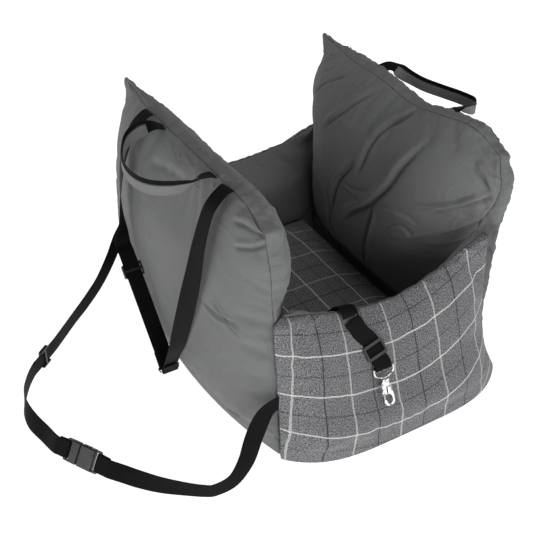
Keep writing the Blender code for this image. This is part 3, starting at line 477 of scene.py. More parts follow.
def webbing(name, route, sides, width, mat, body, slot, node=None, keep=None, offset=0.0,
            shift=0.0, thickness=WEB_T, round_edge=0.5, cells=12, close_ends=True,
            taper=None, section=None):
    """Woven strap with rounded selvedges, swept along a route. taper(s, length) scales its
    width. Returns the piece and its frames."""
    path, across, face, tangent, at = strap_frames(route, sides, keep)
    mid = path + face * offset + across * shift
    q = np.sin(np.linspace(-math.pi / 2, math.pi / 2, cells + 1))
    h = thickness / 2 * np.sqrt(np.maximum(1 - np.abs(q) ** 10, 0)) * (1 - 0.10 * q * q)
    ring_a = np.concatenate([q, q[::-1][1:-1]])
    ring_h = np.concatenate([h, -h[::-1][1:-1]])
    if section is not None:
        ring_a, ring_h = np.array(section)[:, 0] / (width / 2), np.array(section)[:, 1]
    n_ring, n = len(ring_a), len(mid)
    half = np.full(n, width / 2)
    if taper is not None:
        half = half * np.array([taper(s, at[-1]) for s in at])
    co = (mid[:, None, :] + across[:, None, :] * (ring_a[None, :, None] * half[:, None, None])
          + face[:, None, :] * ring_h[None, :, None]).reshape(-1, 3)
    faces = []
    for i in range(n - 1):
        for j in range(n_ring):
            a, b = i * n_ring + j, i * n_ring + (j + 1) % n_ring
            faces.append((a, b, b + n_ring, a + n_ring))
    if close_ends:
        faces.append(tuple(reversed(range(n_ring))))
        faces.append(tuple((n - 1) * n_ring + j for j in range(n_ring)))
    mesh = bpy.data.meshes.new(name)
    mesh.from_pydata(co.tolist(), [], faces)
    bm = bmesh.new()
    bm.from_mesh(mesh)
    bmesh.ops.recalc_face_normals(bm, faces=bm.faces)
    bm.to_mesh(mesh)
    bm.free()
    uv = mesh.uv_layers.new(name="cloth")
    loops = np.empty(len(mesh.loops), dtype=np.int32)
    mesh.loops.foreach_get("vertex_index", loops)
    along = np.repeat(at, n_ring)[loops]
    over = (np.tile(ring_a, n) * np.repeat(half, n_ring))[loops]
    uv.data.foreach_set("uv", np.stack([along, over], 1).astype(np.float32).ravel())
    # how far out across the strap each point lies; the webbing material paints a highlight on the selvedges
    # from it
    rim = mesh.attributes.new("rim", "FLOAT", "POINT")
    rim.data.foreach_set("value", np.tile(np.abs(ring_a), n).astype(np.float32))
    seam = mesh.attributes.new("seam", "FLOAT", "POINT")
    seam.data.foreach_set("value", np.full(len(co), 0.05, np.float32))
    ob = show(name, mesh, mat, body, slot, *([node] if node else []))
    return ob, (path, across, face, tangent, at)


def stitches(name, runs, mat, body, length=0.0026, pitch=0.0034, radius=0.00028, sink=0.00005):
    """Rows of thread: each run is (points, out), an evenly walked line and its outward
    directions. Every stitch is a small capsule that dips at both ends."""
    verts, faces = [], []
    sides_n = 6
    for points, out in runs:
        points, out = np.asarray(points, float), np.asarray(out, float)
        dist = np.concatenate([[0], np.cumsum(np.linalg.norm(np.diff(points, axis=0), axis=1))])
        count = int((dist[-1] - length) / pitch)
        for k in range(max(count, 0) + 1):
            s0 = k * pitch
            if s0 + length > dist[-1] + 1e-9:
                break
            ring_at = []
            for f in (0.0, 0.18, 0.5, 0.82, 1.0):
                s = s0 + length * f
                p = np.array([np.interp(s, dist, points[:, c]) for c in range(3)])
                o = unit(np.array([np.interp(s, dist, out[:, c]) for c in range(3)]))
                r = radius * (0.45 if f in (0.0, 1.0) else 1.0)
                lift = -radius * 0.9 if f in (0.0, 1.0) else (radius * 0.55 if f == 0.5 else
                                                              radius * 0.35)
                ring_at.append((p + o * (lift - sink), o, r))
            ahead = unit(ring_at[-1][0] - ring_at[0][0])
            base = len(verts)
            for p, o, r in ring_at:
                side = unit(np.cross(ahead, o))
                o2 = np.cross(side, ahead)
                for j in range(sides_n):
                    a = 2 * math.pi * j / sides_n
                    verts.append(tuple(p + side * (r * math.cos(a)) + o2 * (r * math.sin(a))))
            for i in range(len(ring_at) - 1):
                for j in range(sides_n):
                    a, b = base + i * sides_n + j, base + i * sides_n + (j + 1) % sides_n
                    faces.append((a, b, b + sides_n, a + sides_n))
            faces.append(tuple(base + j for j in reversed(range(sides_n))))
            faces.append(tuple(base + (len(ring_at) - 1) * sides_n + j for j in range(sides_n)))
    mesh = bpy.data.meshes.new(name)
    mesh.from_pydata(verts, [], faces)
    bm = bmesh.new()
    bm.from_mesh(mesh)
    bmesh.ops.recalc_face_normals(bm, faces=bm.faces)
    bm.to_mesh(mesh)
    bm.free()
    return show(name, mesh, mat, body, None)


def frame_of(origin, along, across):
    y = Vector(along).normalized()
    x = Vector(across)
    x = (x - y * x.dot(y)).normalized()
    z = x.cross(y)
    m = Matrix((x, y, z)).transposed().to_4x4()
    m.translation = Vector(origin)
    return m


def wrap(bar, away, normal, radius, tail):
    bar, away, normal = Vector(bar), Vector(away).normalized(), Vector(normal).normalized()
    pts = []
    for k in range(7):
        a = math.pi * k / 6
        pts.append(bar + normal * (radius * math.cos(a)) - away * (radius * math.sin(a)))
    pts.append(bar - normal * (radius * 0.62) + away * (radius * 2.0))
    pts.append(bar - normal * 0.0011 + away * (radius * 4.2))
    pts.append(bar - normal * 0.0011 + away * tail)
    return pts


# ---------------------------------------------------------------- fastening belt (cords)
BUCKLE_AT = Vector((-0.5130, -0.1530, 0.0192))
BUCKLE_DIR = Vector((-0.510, 0.860, 0.0)).normalized()
BUCKLE_SIDE = Vector((0.520, 0.308, 0.797)).normalized()
buckle = frame_of(BUCKLE_AT, BUCKLE_DIR, BUCKLE_SIDE)


def at_buckle(x, y, z=0.0):
    return buckle @ Vector((x, y, z))


BAR_R = 0.0032 + WEB_T / 2 + 0.0005
front_bar = at_buckle(0, -0.0318)
face = buckle.to_3x3() @ Vector((0, 0, 1))
Z_EDGE = WEB / 2 + 0.0010
route = [(-0.2250, -0.3015, 0.1260), (-0.2400, -0.3035, 0.1260), (-0.2600, -0.3070, 0.1160),
         (-0.2800, -0.3130, 0.0860), (-0.3000, -0.3220, 0.0500), (-0.3260, -0.3270, 0.0250),
         (-0.3561, -0.3232, 0.0163), (-0.3728, -0.3155, 0.0162), (-0.3979, -0.2960, 0.0162),
         (-0.4278, -0.2690, 0.0158), (-0.4525, -0.2400, 0.0148), (-0.4700, -0.2170, 0.0146)]
sides = [(0, 0, 1), (-0.05, 0.05, 1), (-0.30, 0.30, 0.85), (-0.40, 0.38, 0.65),
         (-0.35, 0.28, 0.78), (-0.15, 0.10, 0.96), (-0.08, 0.0, 0.98), (-0.02, 0.0, 0.99),
         (0.08, 0.06, 0.99),
         (0.25, 0.20, 0.94), (0.42, 0.30, 0.85), (0.50, 0.32, 0.80)]
for q in (at_buckle(0, -0.058, BAR_R), at_buckle(0, -0.044, BAR_R)):
    route.append(tuple(q))
    sides.append(tuple(BUCKLE_SIDE))
for q in wrap(front_bar, -BUCKLE_DIR, face, BAR_R, 0.020):
    route.append(tuple(q))
    sides.append(tuple(BUCKLE_SIDE))
belt_front, belt_front_frames = webbing("belt_webbing_front", route, sides, WEB, WEBBING,
                                        "seat", "webbing", "belt_strap_front")

rear_bar = at_buckle(0, 0.0318)
BELT_GLIDE_AT = Vector((-0.4870, 0.1120, 0.0195))
BELT_DIR = Vector((0.760, 0.650, 0.0)).normalized()
route, sides = [], []
for q in reversed(wrap(rear_bar, BUCKLE_DIR, face, BAR_R, 0.020)):
    route.append(tuple(q))
    sides.append(tuple(BUCKLE_SIDE))
for q in (at_buckle(0, 0.044, BAR_R), at_buckle(0, 0.056, BAR_R * 0.8)):
    route.append(tuple(q))
    sides.append(tuple(BUCKLE_SIDE))
for q, side in (((-0.5500, -0.0680, 0.0146), (0.58, 0.20, 0.79)),
                ((-0.5580, -0.0330, 0.0146), (0.60, 0.06, 0.80)),
                ((-0.5590, 0.0020, 0.0158), (0.36, -0.06, 0.93)),
                ((-0.5510, 0.0330, 0.0172), (0.05, 0.0, 1)),
                ((-0.5340, 0.0640, 0.0188), (0, 0, 1))):
    route.append(q)
    sides.append(side)
for s in (-0.038, -0.026, 0.0, 0.026, 0.038):
    route.append(tuple(BELT_GLIDE_AT + BELT_DIR * s))
    sides.append((0, 0, 1))
for q, side in (((-0.4320, 0.1620, 0.0190), (0, 0, 1)), ((-0.4000, 0.1920, 0.0200), (0, 0, 1)),
                ((-0.3620, 0.2220, 0.0260), (-0.1, 0, 1)), ((-0.3220, 0.2480, 0.0440), (-0.3, -0.1, 0.9)),
                ((-0.2860, 0.2680, 0.0780), (-0.45, -0.1, 0.85)), ((-0.2600, 0.2830, 0.1110), (-0.3, 0, 0.95)),
                ((-0.2390, 0.2990, 0.1250), (-0.1, 0, 1)), ((-0.2250, 0.3015, 0.1270), (0, 0, 1))):
    route.append(q)
    sides.append(side)
belt_rear, belt_rear_frames = webbing("belt_webbing_rear", route[::-1], sides[::-1], WEB,
                                      WEBBING, "seat", "webbing", "belt_strap_rear")


# ---------------------------------------------------------------- stuffed forms
HALF_X = 0.225
PANEL_T = 0.036
PANEL_TOP = 0.443
WALL_TOP = 0.222
CUSHION = (0.147, 0.228, 0.066)
FLOOR = 0.0045
FOOT = 0.042
WALL_FOOT = 0.059


def glide(x, xs, ys):
    """A smooth curve through the knots that never overshoots them."""
    xs, ys = np.asarray(xs, float), np.asarray(ys, float)
    h, d = np.diff(xs), np.diff(ys) / np.diff(xs)
    m = np.zeros(len(xs))
    m[0], m[-1] = d[0], d[-1]
    for k in range(1, len(xs) - 1):
        if d[k - 1] * d[k] > 0:
            m[k] = 2 * d[k - 1] * d[k] / (d[k - 1] + d[k])
    k = int(np.clip(np.searchsorted(xs, x) - 1, 0, len(h) - 1))
    t = (x - xs[k]) / h[k]
    return float(ys[k] * (1 + 2 * t) * (1 - t) ** 2 + ys[k + 1] * t * t * (3 - 2 * t)
                 + h[k] * (m[k] * t * (1 - t) ** 2 - m[k + 1] * t * t * (1 - t)))


def ease(x, low, high):
    t = min(max((x - low) / (high - low), 0.0), 1.0)
    return t * t * (3 - 2 * t)


# half widths of the outer and the inner face against height, where a low wall is mitred
# in at the corner and where it isn't
HEIGHTS = (0.0, 0.25, 0.50, 0.62, 0.76, 0.88, 1.0)
OUT_MITRE = (0.303, 0.297, 0.287, 0.279, 0.272, 0.268, 0.268)
IN_MITRE = (0.240, 0.240, 0.240, 0.240, 0.263, 0.264, 0.262)
OUT_BLUNT = (0.268, 0.268, 0.268, 0.268, 0.277, 0.283, 0.274)
IN_BLUNT = (0.240, 0.240, 0.240, 0.240, 0.267, 0.277, 0.274)


def panel_place(side, swell_out, swell_in, lean):
    def place(u, v, w):
        t = (v + 1) / 2
        if side < 0:
            top = PANEL_TOP + (0.005 if u > 0 else -0.006) * u ** 4
            out_half, in_half = glide(t, HEIGHTS, OUT_MITRE), glide(t, HEIGHTS, IN_MITRE)
            round_off, ridge = 0.020, 0.003
        else:
            top = (PANEL_TOP - 0.011 * math.exp(-((u + 0.15) / 0.24) ** 2)
                   + 0.011 * math.exp(-((u + 0.72) / 0.28) ** 2) + 0.010 * max(u, 0) ** 4)
            rear = u > 0
            out_half = glide(t, HEIGHTS, OUT_MITRE if rear else OUT_BLUNT)
            in_half = glide(t, HEIGHTS, IN_MITRE if rear else IN_BLUNT)
            if rear:
                out_half -= 0.018 * ease(t, 0.6, 1.0)
                in_half -= 0.014 * ease(t, 0.76, 1.0)
            round_off, ridge = 0.020, 0.003 if rear else 0.007
        z = FLOOR + t * (top - FLOOR)
        corner = ease(-u, 0.62, 1.0) * ease(t, 0.80, 1.0)
        seam_out = HALF_X + FOOT * (1 - t) ** 5 * (1 - abs(u) ** 2.4) + lean * (t - 0.3)
        seam_in = HALF_X - PANEL_T + lean * (t - 0.3)
        if side > 0:
            seam_in += 0.014 * ease(-u, 0.45, 0.95) * ease(t, 0.30, 0.55)
        ear = ease(u, 0.55, 1.0) * ease(t, 0.72, 1.0)
        mid = (seam_out + seam_in) / 2 + (0.004 if side < 0 else -0.008) * ear
        seam_out += (mid - seam_out) * 0.70 * ear
        seam_in += (mid - seam_in) * 0.70 * ear
        fat = (1 - abs(u) ** 5) ** 0.6 if side < 0 and u > 0 else (1 - abs(u) ** 3.0) ** 0.7
        x_out = seam_out + swell_out * fat * (1 - abs(v) ** 2.6) ** 0.8
        above = glide(t, (0.0, 0.12, 0.17, 0.23, 0.32, 0.45, 0.63, 0.80, 0.92, 1.0),
                      (0.0, 0.24, 0.47, 0.64, 0.82, 0.95, 1.0, 0.84, 0.48, 0.0))
        x_in = seam_in - swell_in * (1 - abs(u) ** 2.8) ** 0.85 * above
        s = (w + 1) / 2
        x = x_out + (x_in - x_out) * s
        y = u * (out_half + (in_half - out_half) * s)
        if v > 0.999:
            if side < 0:
                z += 0.002 - 0.004 * w - 0.006 * w * w
            else:
                z += 0.003 + 0.002 * w - 0.004 * w * w
        elif v < -0.999:
            z = FLOOR
        else:
            z -= (0.008 if side < 0 else -0.001) * s * t ** 6
        if abs(u) > 0.999:
            low = 0.004 if u > 0 or side < 0 else 0.002
            bulge = (low + (ridge - low) * ease(t, 0.62, 0.78)) * (1 - w * w) * (1 - ear)
            y += math.copysign(bulge, u)
        y += 0.75 * round_off * corner
        y += 0.016 * ease(u, 0.90, 1.0) * ease(t, 0.90, 1.0)
        z -= round_off * corner * (0.25 + 0.75 * ease(-u, 0.62, 1.0))
        return side * x, y, z
    return place


def wall_place(side):
    front = side < 0

    def place(u, v, w):
        t = (v + 1) / 2
        s = (w + 1) / 2
        rise = (0.050 if u < 0 else 0.075) if front else 0.048
        top = (WALL_TOP if front else WALL_TOP - 0.016) + rise * abs(u) ** (1.8 if front else 2.6)
        z = FLOOR + t * (top - FLOOR)
        mitre = (0.2225, 0.2030, 0.1860)
        x_left = -float(np.interp(w, (-1, 0, 1), mitre))
        if front and w <= 0:
            x_left -= 0.0070 + 0.0020 * ease(t, 0.2, 0.9)
        if front:
            edge = glide(t, (0.0, 0.2, 0.45, 0.7, 1.0), (0.232, 0.205, 0.190, 0.186, 0.186))
            x_right = float(np.interp(w, (-1, 0, 1),
                                      (edge, 0.190 + 0.2 * (edge - 0.190), 0.184)))
        else:
            if w <= 0:
                x_left -= 0.0050
            x_right = -x_left
        x = x_left + (x_right - x_left) * (u + 1) / 2
        y_out = glide(t, (0.0, 0.2, 0.45, 0.7, 1.0), (0.311, 0.308, 0.302, 0.296, 0.287))
        swell = glide(t, (0.0, 0.2, 0.45, 0.7, 0.88, 1.0),
                      (WALL_FOOT, WALL_FOOT + 0.001, 0.0405, 0.0265, 0.0135, 0.004))
        y_out += swell * (1 - abs(u) ** 4.2)
        y_in = glide(t, (0.0, 0.7, 1.0), (0.2435, 0.2440, 0.2560))
        y_in -= 0.008 * (1 - abs(u) ** 3) * glide(t, (0, 0.35, 0.7, 1), (0, 0, 1, 0.0))
        y = y_out + (y_in - y_out) * s
        if abs(u) > 0.999:
            y += float(np.interp(w, (-1, 0, 1), (0, 0.274 - (y_out + y_in) / 2, 0)))
        if v > 0.999:
            z += (0.008 - 0.008 * w - 0.016 * w * w) * (1 - 0.8 * ease(abs(u), 0.75, 1.0))
        else:
            z -= 0.016 * s * t ** 5
        return x, side * y, z
    return place


def cushion_place(u, v, w):
    hx, hy, top = CUSHION
    mid = (FLOOR + top) / 2
    half = (top - FLOOR) / 2
    r = (1 - abs(u) ** 3) * (1 - abs(v) ** 3)
    x = u * hx * (1 - 0.02 * (1 - v * v))
    y = v * hy * (1 - 0.02 * (1 - u * u))
    s = (w + 1) / 2
    high = mid + half * 0.55 + half * 0.45 * r
    z = FLOOR + (high - FLOOR) * s
    if abs(u) > 0.999 or abs(v) > 0.999:
        bulge = 0.003 * (1 - w * w)
        x += bulge * u if abs(u) > 0.999 else 0.0
        y += bulge * v if abs(v) > 0.999 else 0.0
    return x, y, z


OUTER, GUSSET, INNER, ROLL = 0, 1, 2, 3


def spread(cells, ends):
    """Even cuts from -1 to 1, drawn towards both ends by the share ends."""
    q = np.linspace(-1, 1, cells + 1)
    return (1 - ends) * q + ends * np.sin(q * math.pi / 2)


def cage(name, place, us, vs, ws, crease, levels, roll_over=False):
    """A closed stuffed form on a fine grid, subdivided. Faces carry OUTER, GUSSET, INNER or
    ROLL as their material index, and the cage UV holds the flat (u, v) of each face."""
    size = (len(us), len(vs), len(ws))
    index, verts, flat = {}, [], []

    def vert(i, j, k):
        key = (i, j, k)
        if key not in index:
            index[key] = len(verts)
            u, v, w = float(us[i]), float(vs[j]), float(ws[k])
            verts.append(tuple(place(u, v, w)))
            flat.append((u, v))
        return index[key]

    faces, region = [], []
    last = [n - 1 for n in size]
    for k, side in ((0, OUTER), (last[2], INNER)):
        for i in range(last[0]):
            for j in range(last[1]):
                quad = [vert(i, j, k), vert(i + 1, j, k), vert(i + 1, j + 1, k),
                        vert(i, j + 1, k)]
                faces.append(quad if side == OUTER else quad[::-1])
                region.append(side)
    for k in range(last[2]):
        for i in range(last[0]):
            for j in (0, last[1]):
                quad = [vert(i, j, k), vert(i, j, k + 1), vert(i + 1, j, k + 1),
                        vert(i + 1, j, k)]
                faces.append(quad if j == 0 else quad[::-1])
                roll = roll_over and j and (ws[k] + ws[k + 1]) / 2 < 0
                region.append(ROLL if roll else GUSSET)
        for j in range(last[1]):
            for i in (0, last[0]):
                quad = [vert(i, j, k), vert(i, j + 1, k), vert(i, j + 1, k + 1),
                        vert(i, j, k + 1)]
                faces.append(quad if i == 0 else quad[::-1])
                region.append(GUSSET)
    mesh = bpy.data.meshes.new(name)
    mesh.from_pydata(verts, [], faces)
    mesh.polygons.foreach_set("material_index", np.array(region, dtype=np.int32))
    loops = np.empty(len(mesh.loops), dtype=np.int32)
    mesh.loops.foreach_get("vertex_index", loops)
    mesh.uv_layers.new(name="cage").data.foreach_set(
        "uv", np.array(flat, dtype=np.float32)[loops].ravel())
    bm = bmesh.new()
    bm.from_mesh(mesh)
    bmesh.ops.recalc_face_normals(bm, faces=bm.faces)
    sharp = bm.edges.layers.float.new("crease_edge")
    for e in bm.edges:
        kinds = {f.material_index for f in e.link_faces}
        if len(kinds) == 2 and kinds != {ROLL, OUTER}:
            e[sharp] = crease
    bm.to_mesh(mesh)
    bm.free()
    ob = bpy.data.objects.new(name, mesh)
    SCENE.collection.objects.link(ob)
    return subdivided(ob, levels)


def subdivided(ob, levels=1):
    sub = ob.modifiers.new("soft", "SUBSURF")
    sub.levels = sub.render_levels = levels
    sub.uv_smooth = "NONE"
    return applied(ob)


def cage_uv(mesh):
    """(u, v) of each vertex on the flat faces."""
    flat = np.empty(len(mesh.loops) * 2, dtype=np.float32)
    mesh.uv_layers["cage"].data.foreach_get("uv", flat)
    index = np.empty(len(mesh.loops), dtype=np.int32)
    mesh.loops.foreach_get("vertex_index", index)
    out = np.zeros((len(mesh.vertices), 2))
    out[index] = flat.reshape(-1, 2)
    return out


def face_regions(mesh):
    """Region of each face, and for each vertex whether it touches each region."""
    mat = np.empty(len(mesh.polygons), dtype=np.int32)
    mesh.polygons.foreach_get("material_index", mat)
    index = np.empty(len(mesh.loops), dtype=np.int32)
    mesh.loops.foreach_get("vertex_index", index)
    total = np.empty(len(mesh.polygons), dtype=np.int32)
    mesh.polygons.foreach_get("loop_total", total)
    of_loop = np.repeat(mat, total)
    touch = np.zeros((len(mesh.vertices), 4), bool)
    for r in range(4):
        touch[index[of_loop == r], r] = True
    return mat, touch


def seam_lines(mesh, region_a, region_b, step=0.001):
    """The seam between two regions as fine points with their place along it."""
    _, touch = face_regions(mesh)
    on = touch[:, region_a] & touch[:, region_b]
    edges = np.empty(len(mesh.edges) * 2, dtype=np.int32)
    mesh.edges.foreach_get("vertices", edges)
    edges = edges.reshape(-1, 2)
    pick = edges[on[edges[:, 0]] & on[edges[:, 1]]]
    near = {}
    for a, b in pick.tolist():
        near.setdefault(a, []).append(b)
        near.setdefault(b, []).append(a)
    co = coords(mesh)
    lines, seen = [], set()
    for start in sorted(near, key=lambda n: (len(near[n]) != 1, n)):
        if start in seen:
            continue
        chain, at = [start], start
        seen.add(start)
        while True:
            ahead = [n for n in near[at] if n not in seen]
            if not ahead:
                break
            at = ahead[0]
            seen.add(at)
            chain.append(at)
        if len(chain) < 8:
            continue
        if chain[0] in near[chain[-1]]:
            chain.append(chain[0])
        p = co[chain]
        s = np.concatenate([[0], np.cumsum(np.linalg.norm(np.diff(p, axis=0), axis=1))])
        q = np.arange(0, s[-1], step)
        lines.append((np.stack([np.interp(q, s, p[:, k]) for k in range(3)], 1), q, s[-1]))
    return lines


def seam_distance(co, lines, reach=0.06):
    """Distance to the nearest seam point and the place along it, per vertex."""
    pts = np.concatenate([l[0] for l in lines])
    along = np.concatenate([l[1] + 10.0 * i for i, l in enumerate(lines)])
    tree = kdtree.KDTree(len(pts))
    for i, p in enumerate(pts):
        tree.insert(p, i)
    tree.balance()
    dist = np.full(len(co), reach)
    where = np.zeros(len(co))
    for i, p in enumerate(co):
        _, j, d = tree.find(p)
        if d < reach:
            dist[i], where[i] = d, along[j]
    return dist, where


def noise_at(points, scale, seed=0.0):
    return np.array([noise.noise(Vector((p[0] * scale + seed, p[1] * scale - seed,
                                         p[2] * scale + 0.37 * seed))) for p in points])


def puff(ob, hold, pressure, slack, cap, frames=20, stiff=8.0, bend=0.6):
    """Fills the cover with air: pinned where hold is 1, cloth longer by slack, each point
    held to within cap of where it was."""
    mesh = ob.data
    rest = coords(mesh)
    group = ob.vertex_groups.new(name="hold")
    levels = np.round(np.clip(hold, 0, 1) * 8).astype(int)
    for k in range(1, 9):
        idx = np.nonzero(levels == k)[0].tolist()
        if idx:
            group.add(idx, k / 8, "REPLACE")
    mod = ob.modifiers.new("cloth", "CLOTH")
    c = mod.settings
    c.quality = 4
    c.mass = 0.25
    c.tension_stiffness = c.compression_stiffness = stiff
    c.shear_stiffness = stiff * 0.4
    c.bending_stiffness = bend
    c.air_damping = 2.0
    c.tension_damping = c.compression_damping = 8.0
    c.use_pressure = True
    c.uniform_pressure_force = pressure
    c.shrink_min = -slack
    c.vertex_group_mass = "hold"
    c.pin_stiffness = 1.0
    c.effector_weights.gravity = 0.0
    mod.collision_settings.use_collision = False
    mod.collision_settings.use_self_collision = False
    mod.point_cache.frame_start = 1
    mod.point_cache.frame_end = frames
    for f in range(1, frames + 1):
        SCENE.frame_set(f)
    dg = bpy.context.evaluated_depsgraph_get()
    after = coords(ob.evaluated_get(dg).data)
    ob.modifiers.remove(mod)
    ob.vertex_groups.clear()
    SCENE.frame_set(1)
    move = after - rest
    far = np.linalg.norm(move, axis=1, keepdims=True)
    move *= cap * np.tanh(far / cap) / np.maximum(far, 1e-9)
    put_coords(mesh, rest + move)


def stroke(flat, pts, depth, width, side=0.0, bank=0.0, bank_width=1.6, ends=0.22):
    """Height of one fold drawn on a flat face: a furrow along the line, with a soft bank
    beside it on that side."""
    line = catmull(pts, 8)
    seg = np.diff(line, axis=0)
    long = np.linalg.norm(seg, axis=1)
    s0 = np.concatenate([[0], np.cumsum(long)])
    best = np.full(len(flat), 1e9)
    signed = np.zeros(len(flat))
    where = np.zeros(len(flat))
    for k in range(len(seg)):
        if long[k] < 1e-9:
            continue
        d = seg[k] / long[k]
        rel = flat - line[k]
        t = np.clip(rel @ d, 0, long[k])
        off = rel - t[:, None] * d
        dist = np.linalg.norm(off, axis=1)
        take = dist < best
        best[take] = dist[take]
        cross = d[0] * rel[:, 1] - d[1] * rel[:, 0]
        signed[take] = np.sign(cross[take]) * dist[take]
        where[take] = (s0[k] + t[take]) / s0[-1]
    fade = np.clip(where / ends, 0, 1) * np.clip((1 - where) / ends, 0, 1)
    fade = fade * fade * (3 - 2 * fade)
    over = np.where((where <= 0) | (where >= 1), np.exp(-(best / width) ** 2), 1.0)
    h = -depth * np.exp(-(signed / width) ** 2)
    if bank:
        h += bank * np.exp(-((signed - side * width * 1.7) / (width * bank_width)) ** 2)
    return h * fade * over


def tug(co, at, to, radius, power=1.6):
    """Pulls the cloth near a point so that the point lands where it is wanted."""
    r = np.linalg.norm(co - np.asarray(at), axis=1)
    w = np.exp(-(r / radius) ** power)
    return co + w[:, None] * (np.asarray(to) - np.asarray(at))


def pucker(dist, where, reach, wave, depth, seed, sharp=1.0):
    """Gathers that run off a seam."""
    base = np.array([noise.noise(Vector((w * 14.0 + seed, seed * 1.7, 0.0))) for w in where])
    amp = np.array([0.5 + 0.9 * noise.noise(Vector((w * 9.0 - seed, 4.0 + seed, 0.0)))
                    for w in where])
    phase = where / wave * 2 * math.pi + base * 5.0
    h = np.sin(phase)
    h = np.sign(h) * np.abs(h) ** sharp
    fall = np.clip(dist / 0.004, 0, 1) * np.exp(-(dist / reach) ** 1.5)
    return depth * np.clip(amp, 0.0, 1.4) * h * fall


def metric_uv(mesh, project):
    """The cloth UV in metres: project(co, normal) gives two coordinates per loop."""
    index = np.empty(len(mesh.loops), dtype=np.int32)
    mesh.loops.foreach_get("vertex_index", index)
    total = np.empty(len(mesh.polygons), dtype=np.int32)
    mesh.polygons.foreach_get("loop_total", total)
    no = np.empty(len(mesh.polygons) * 3, dtype=np.float32)
    mesh.polygons.foreach_get("normal", no)
    no = np.repeat(no.reshape(-1, 3), total, axis=0)
    co = coords(mesh)[index]
    uv = mesh.uv_layers.new(name="cloth")
    uv.data.foreach_set("uv", np.asarray(project(co, no), dtype=np.float32).ravel())
    return index, co, no


def box_project(co, no):
    a = np.abs(no)
    big = a.argmax(1)
    u = np.where(big == 0, co[:, 1], co[:, 0])
    v = np.where(big == 2, co[:, 1], co[:, 2])
    return np.stack([u, v], 1)


def set_seam(mesh, dist):
    # the seam attribute is the distance to the nearest seam; the canvas and plaid materials paint shade along
    # the seams from it
    a = mesh.attributes.get("seam") or mesh.attributes.new("seam", "FLOAT", "POINT")
    a.data.foreach_set("value", dist.astype(np.float32))


# ---- end panels
# the long soft folds, as (y, z) on the face: points, furrow depth, half width, bank
RIGHT_FOLDS = [
    ([(0.030, 0.438), (0.063, 0.401), (0.086, 0.370), (0.128, 0.326)], 0.0030, 0.006, 1, 0.0028),
    ([(-0.072, 0.440), (-0.049, 0.412), (-0.032, 0.393), (-0.022, 0.362), (-0.018, 0.325),
      (-0.008, 0.288)], 0.0040, 0.0065, 1, 0.0035),
    ([(-0.142, 0.428), (-0.132, 0.394), (-0.111, 0.350), (-0.095, 0.311), (-0.055, 0.256),
      (-0.006, 0.214), (0.045, 0.162)], 0.0048, 0.0075, 1, 0.0045),
    ([(-0.006, 0.322), (0.027, 0.278), (0.046, 0.249), (0.061, 0.209), (0.078, 0.160)],
     0.0032, 0.006, 1, 0.0026),
    ([(-0.067, 0.272), (-0.061, 0.231), (-0.049, 0.183), (-0.036, 0.129), (-0.020, 0.078)],
     0.0030, 0.006, -1, 0.0024),
    ([(0.032, 0.262), (-0.010, 0.264), (-0.050, 0.284)], 0.0018, 0.0045, 1, 0.0012),
    ([(0.026, 0.250), (-0.008, 0.247), (-0.034, 0.250)], 0.0014, 0.0040, 1, 0.0008),
    ([(-0.268, 0.366), (-0.258, 0.352), (-0.238, 0.334), (-0.205, 0.311), (-0.165, 0.289)],
     0.0036, 0.0050, 1, 0.0026),
    ([(-0.258, 0.312), (-0.245, 0.297), (-0.208, 0.262), (-0.159, 0.230), (-0.112, 0.209)],
     0.0036, 0.0052, 1, 0.0028),
    ([(-0.242, 0.266), (-0.229, 0.254), (-0.196, 0.230), (-0.162, 0.221)],
     0.0026, 0.0045, 1, 0.0018),
    ([(-0.226, 0.408), (-0.248, 0.388), (-0.262, 0.366)], 0.0036, 0.0050, -1, 0.0034),
    ([(-0.130, 0.300), (-0.169, 0.311), (-0.211, 0.330), (-0.250, 0.362)],
     0.0022, 0.0045, 1, 0.0016),
    ([(-0.062, 0.256), (-0.102, 0.274), (-0.141, 0.276), (-0.168, 0.262)],
     0.0020, 0.0045, 1, 0.0014),
    ([(-0.098, 0.228), (-0.134, 0.251), (-0.166, 0.232)], 0.0022, 0.0042, 1, 0.0014),
    ([(0.202, 0.358), (0.171, 0.395), (0.112, 0.430)], 0.0022, 0.0055, 1, 0.0018),
    ([(0.212, 0.394), (0.165, 0.428)], 0.0016, 0.0045, 1, 0.0012),
    ([(0.120, 0.225), (0.080, 0.190), (0.094, 0.110), (0.066, 0.050)],
     0.0022, 0.0070, 1, 0.0016),
    ([(-0.186, 0.314), (-0.225, 0.305), (-0.252, 0.296)], 0.0018, 0.0040, 1, 0.0010),
]
LEFT_FOLDS = [
    ([(-0.262, 0.414), (-0.242, 0.414), (-0.216, 0.417), (-0.186, 0.414)],
     0.0030, 0.0050, 1, 0.0022),
    ([(-0.262, 0.408), (-0.238, 0.391), (-0.205, 0.380)], 0.0028, 0.0050, 1, 0.0020),
    ([(-0.205, 0.438), (-0.227, 0.429), (-0.252, 0.419)], 0.0022, 0.0045, 1, 0.0016),
    ([(-0.240, 0.228), (-0.218, 0.236), (-0.199, 0.248), (-0.166, 0.266)],
     0.0026, 0.0050, 1, 0.0020),
    ([(-0.238, 0.246), (-0.214, 0.246), (-0.180, 0.240), (-0.138, 0.246)],
     0.0020, 0.0045, -1, 0.0014),
    ([(0.108, 0.236), (0.063, 0.170), (0.018, 0.100)], 0.0016, 0.0080, 1, 0.0016),
    ([(0.100, 0.376), (0.042, 0.383), (-0.030, 0.398)], 0.0020, 0.0110, -1, 0.0018),
    ([(-0.226, 0.050), (-0.208, 0.034), (-0.180, 0.030)], 0.0020, 0.0045, 1, 0.0014),
    ([(-0.060, 0.425), (-0.105, 0.330), (-0.125, 0.240)], 0.0012, 0.0140, -1, 0.0012),
    ([(0.160, 0.410), (0.110, 0.330), (0.100, 0.260)], 0.0012, 0.0130, 1, 0.0010),
]


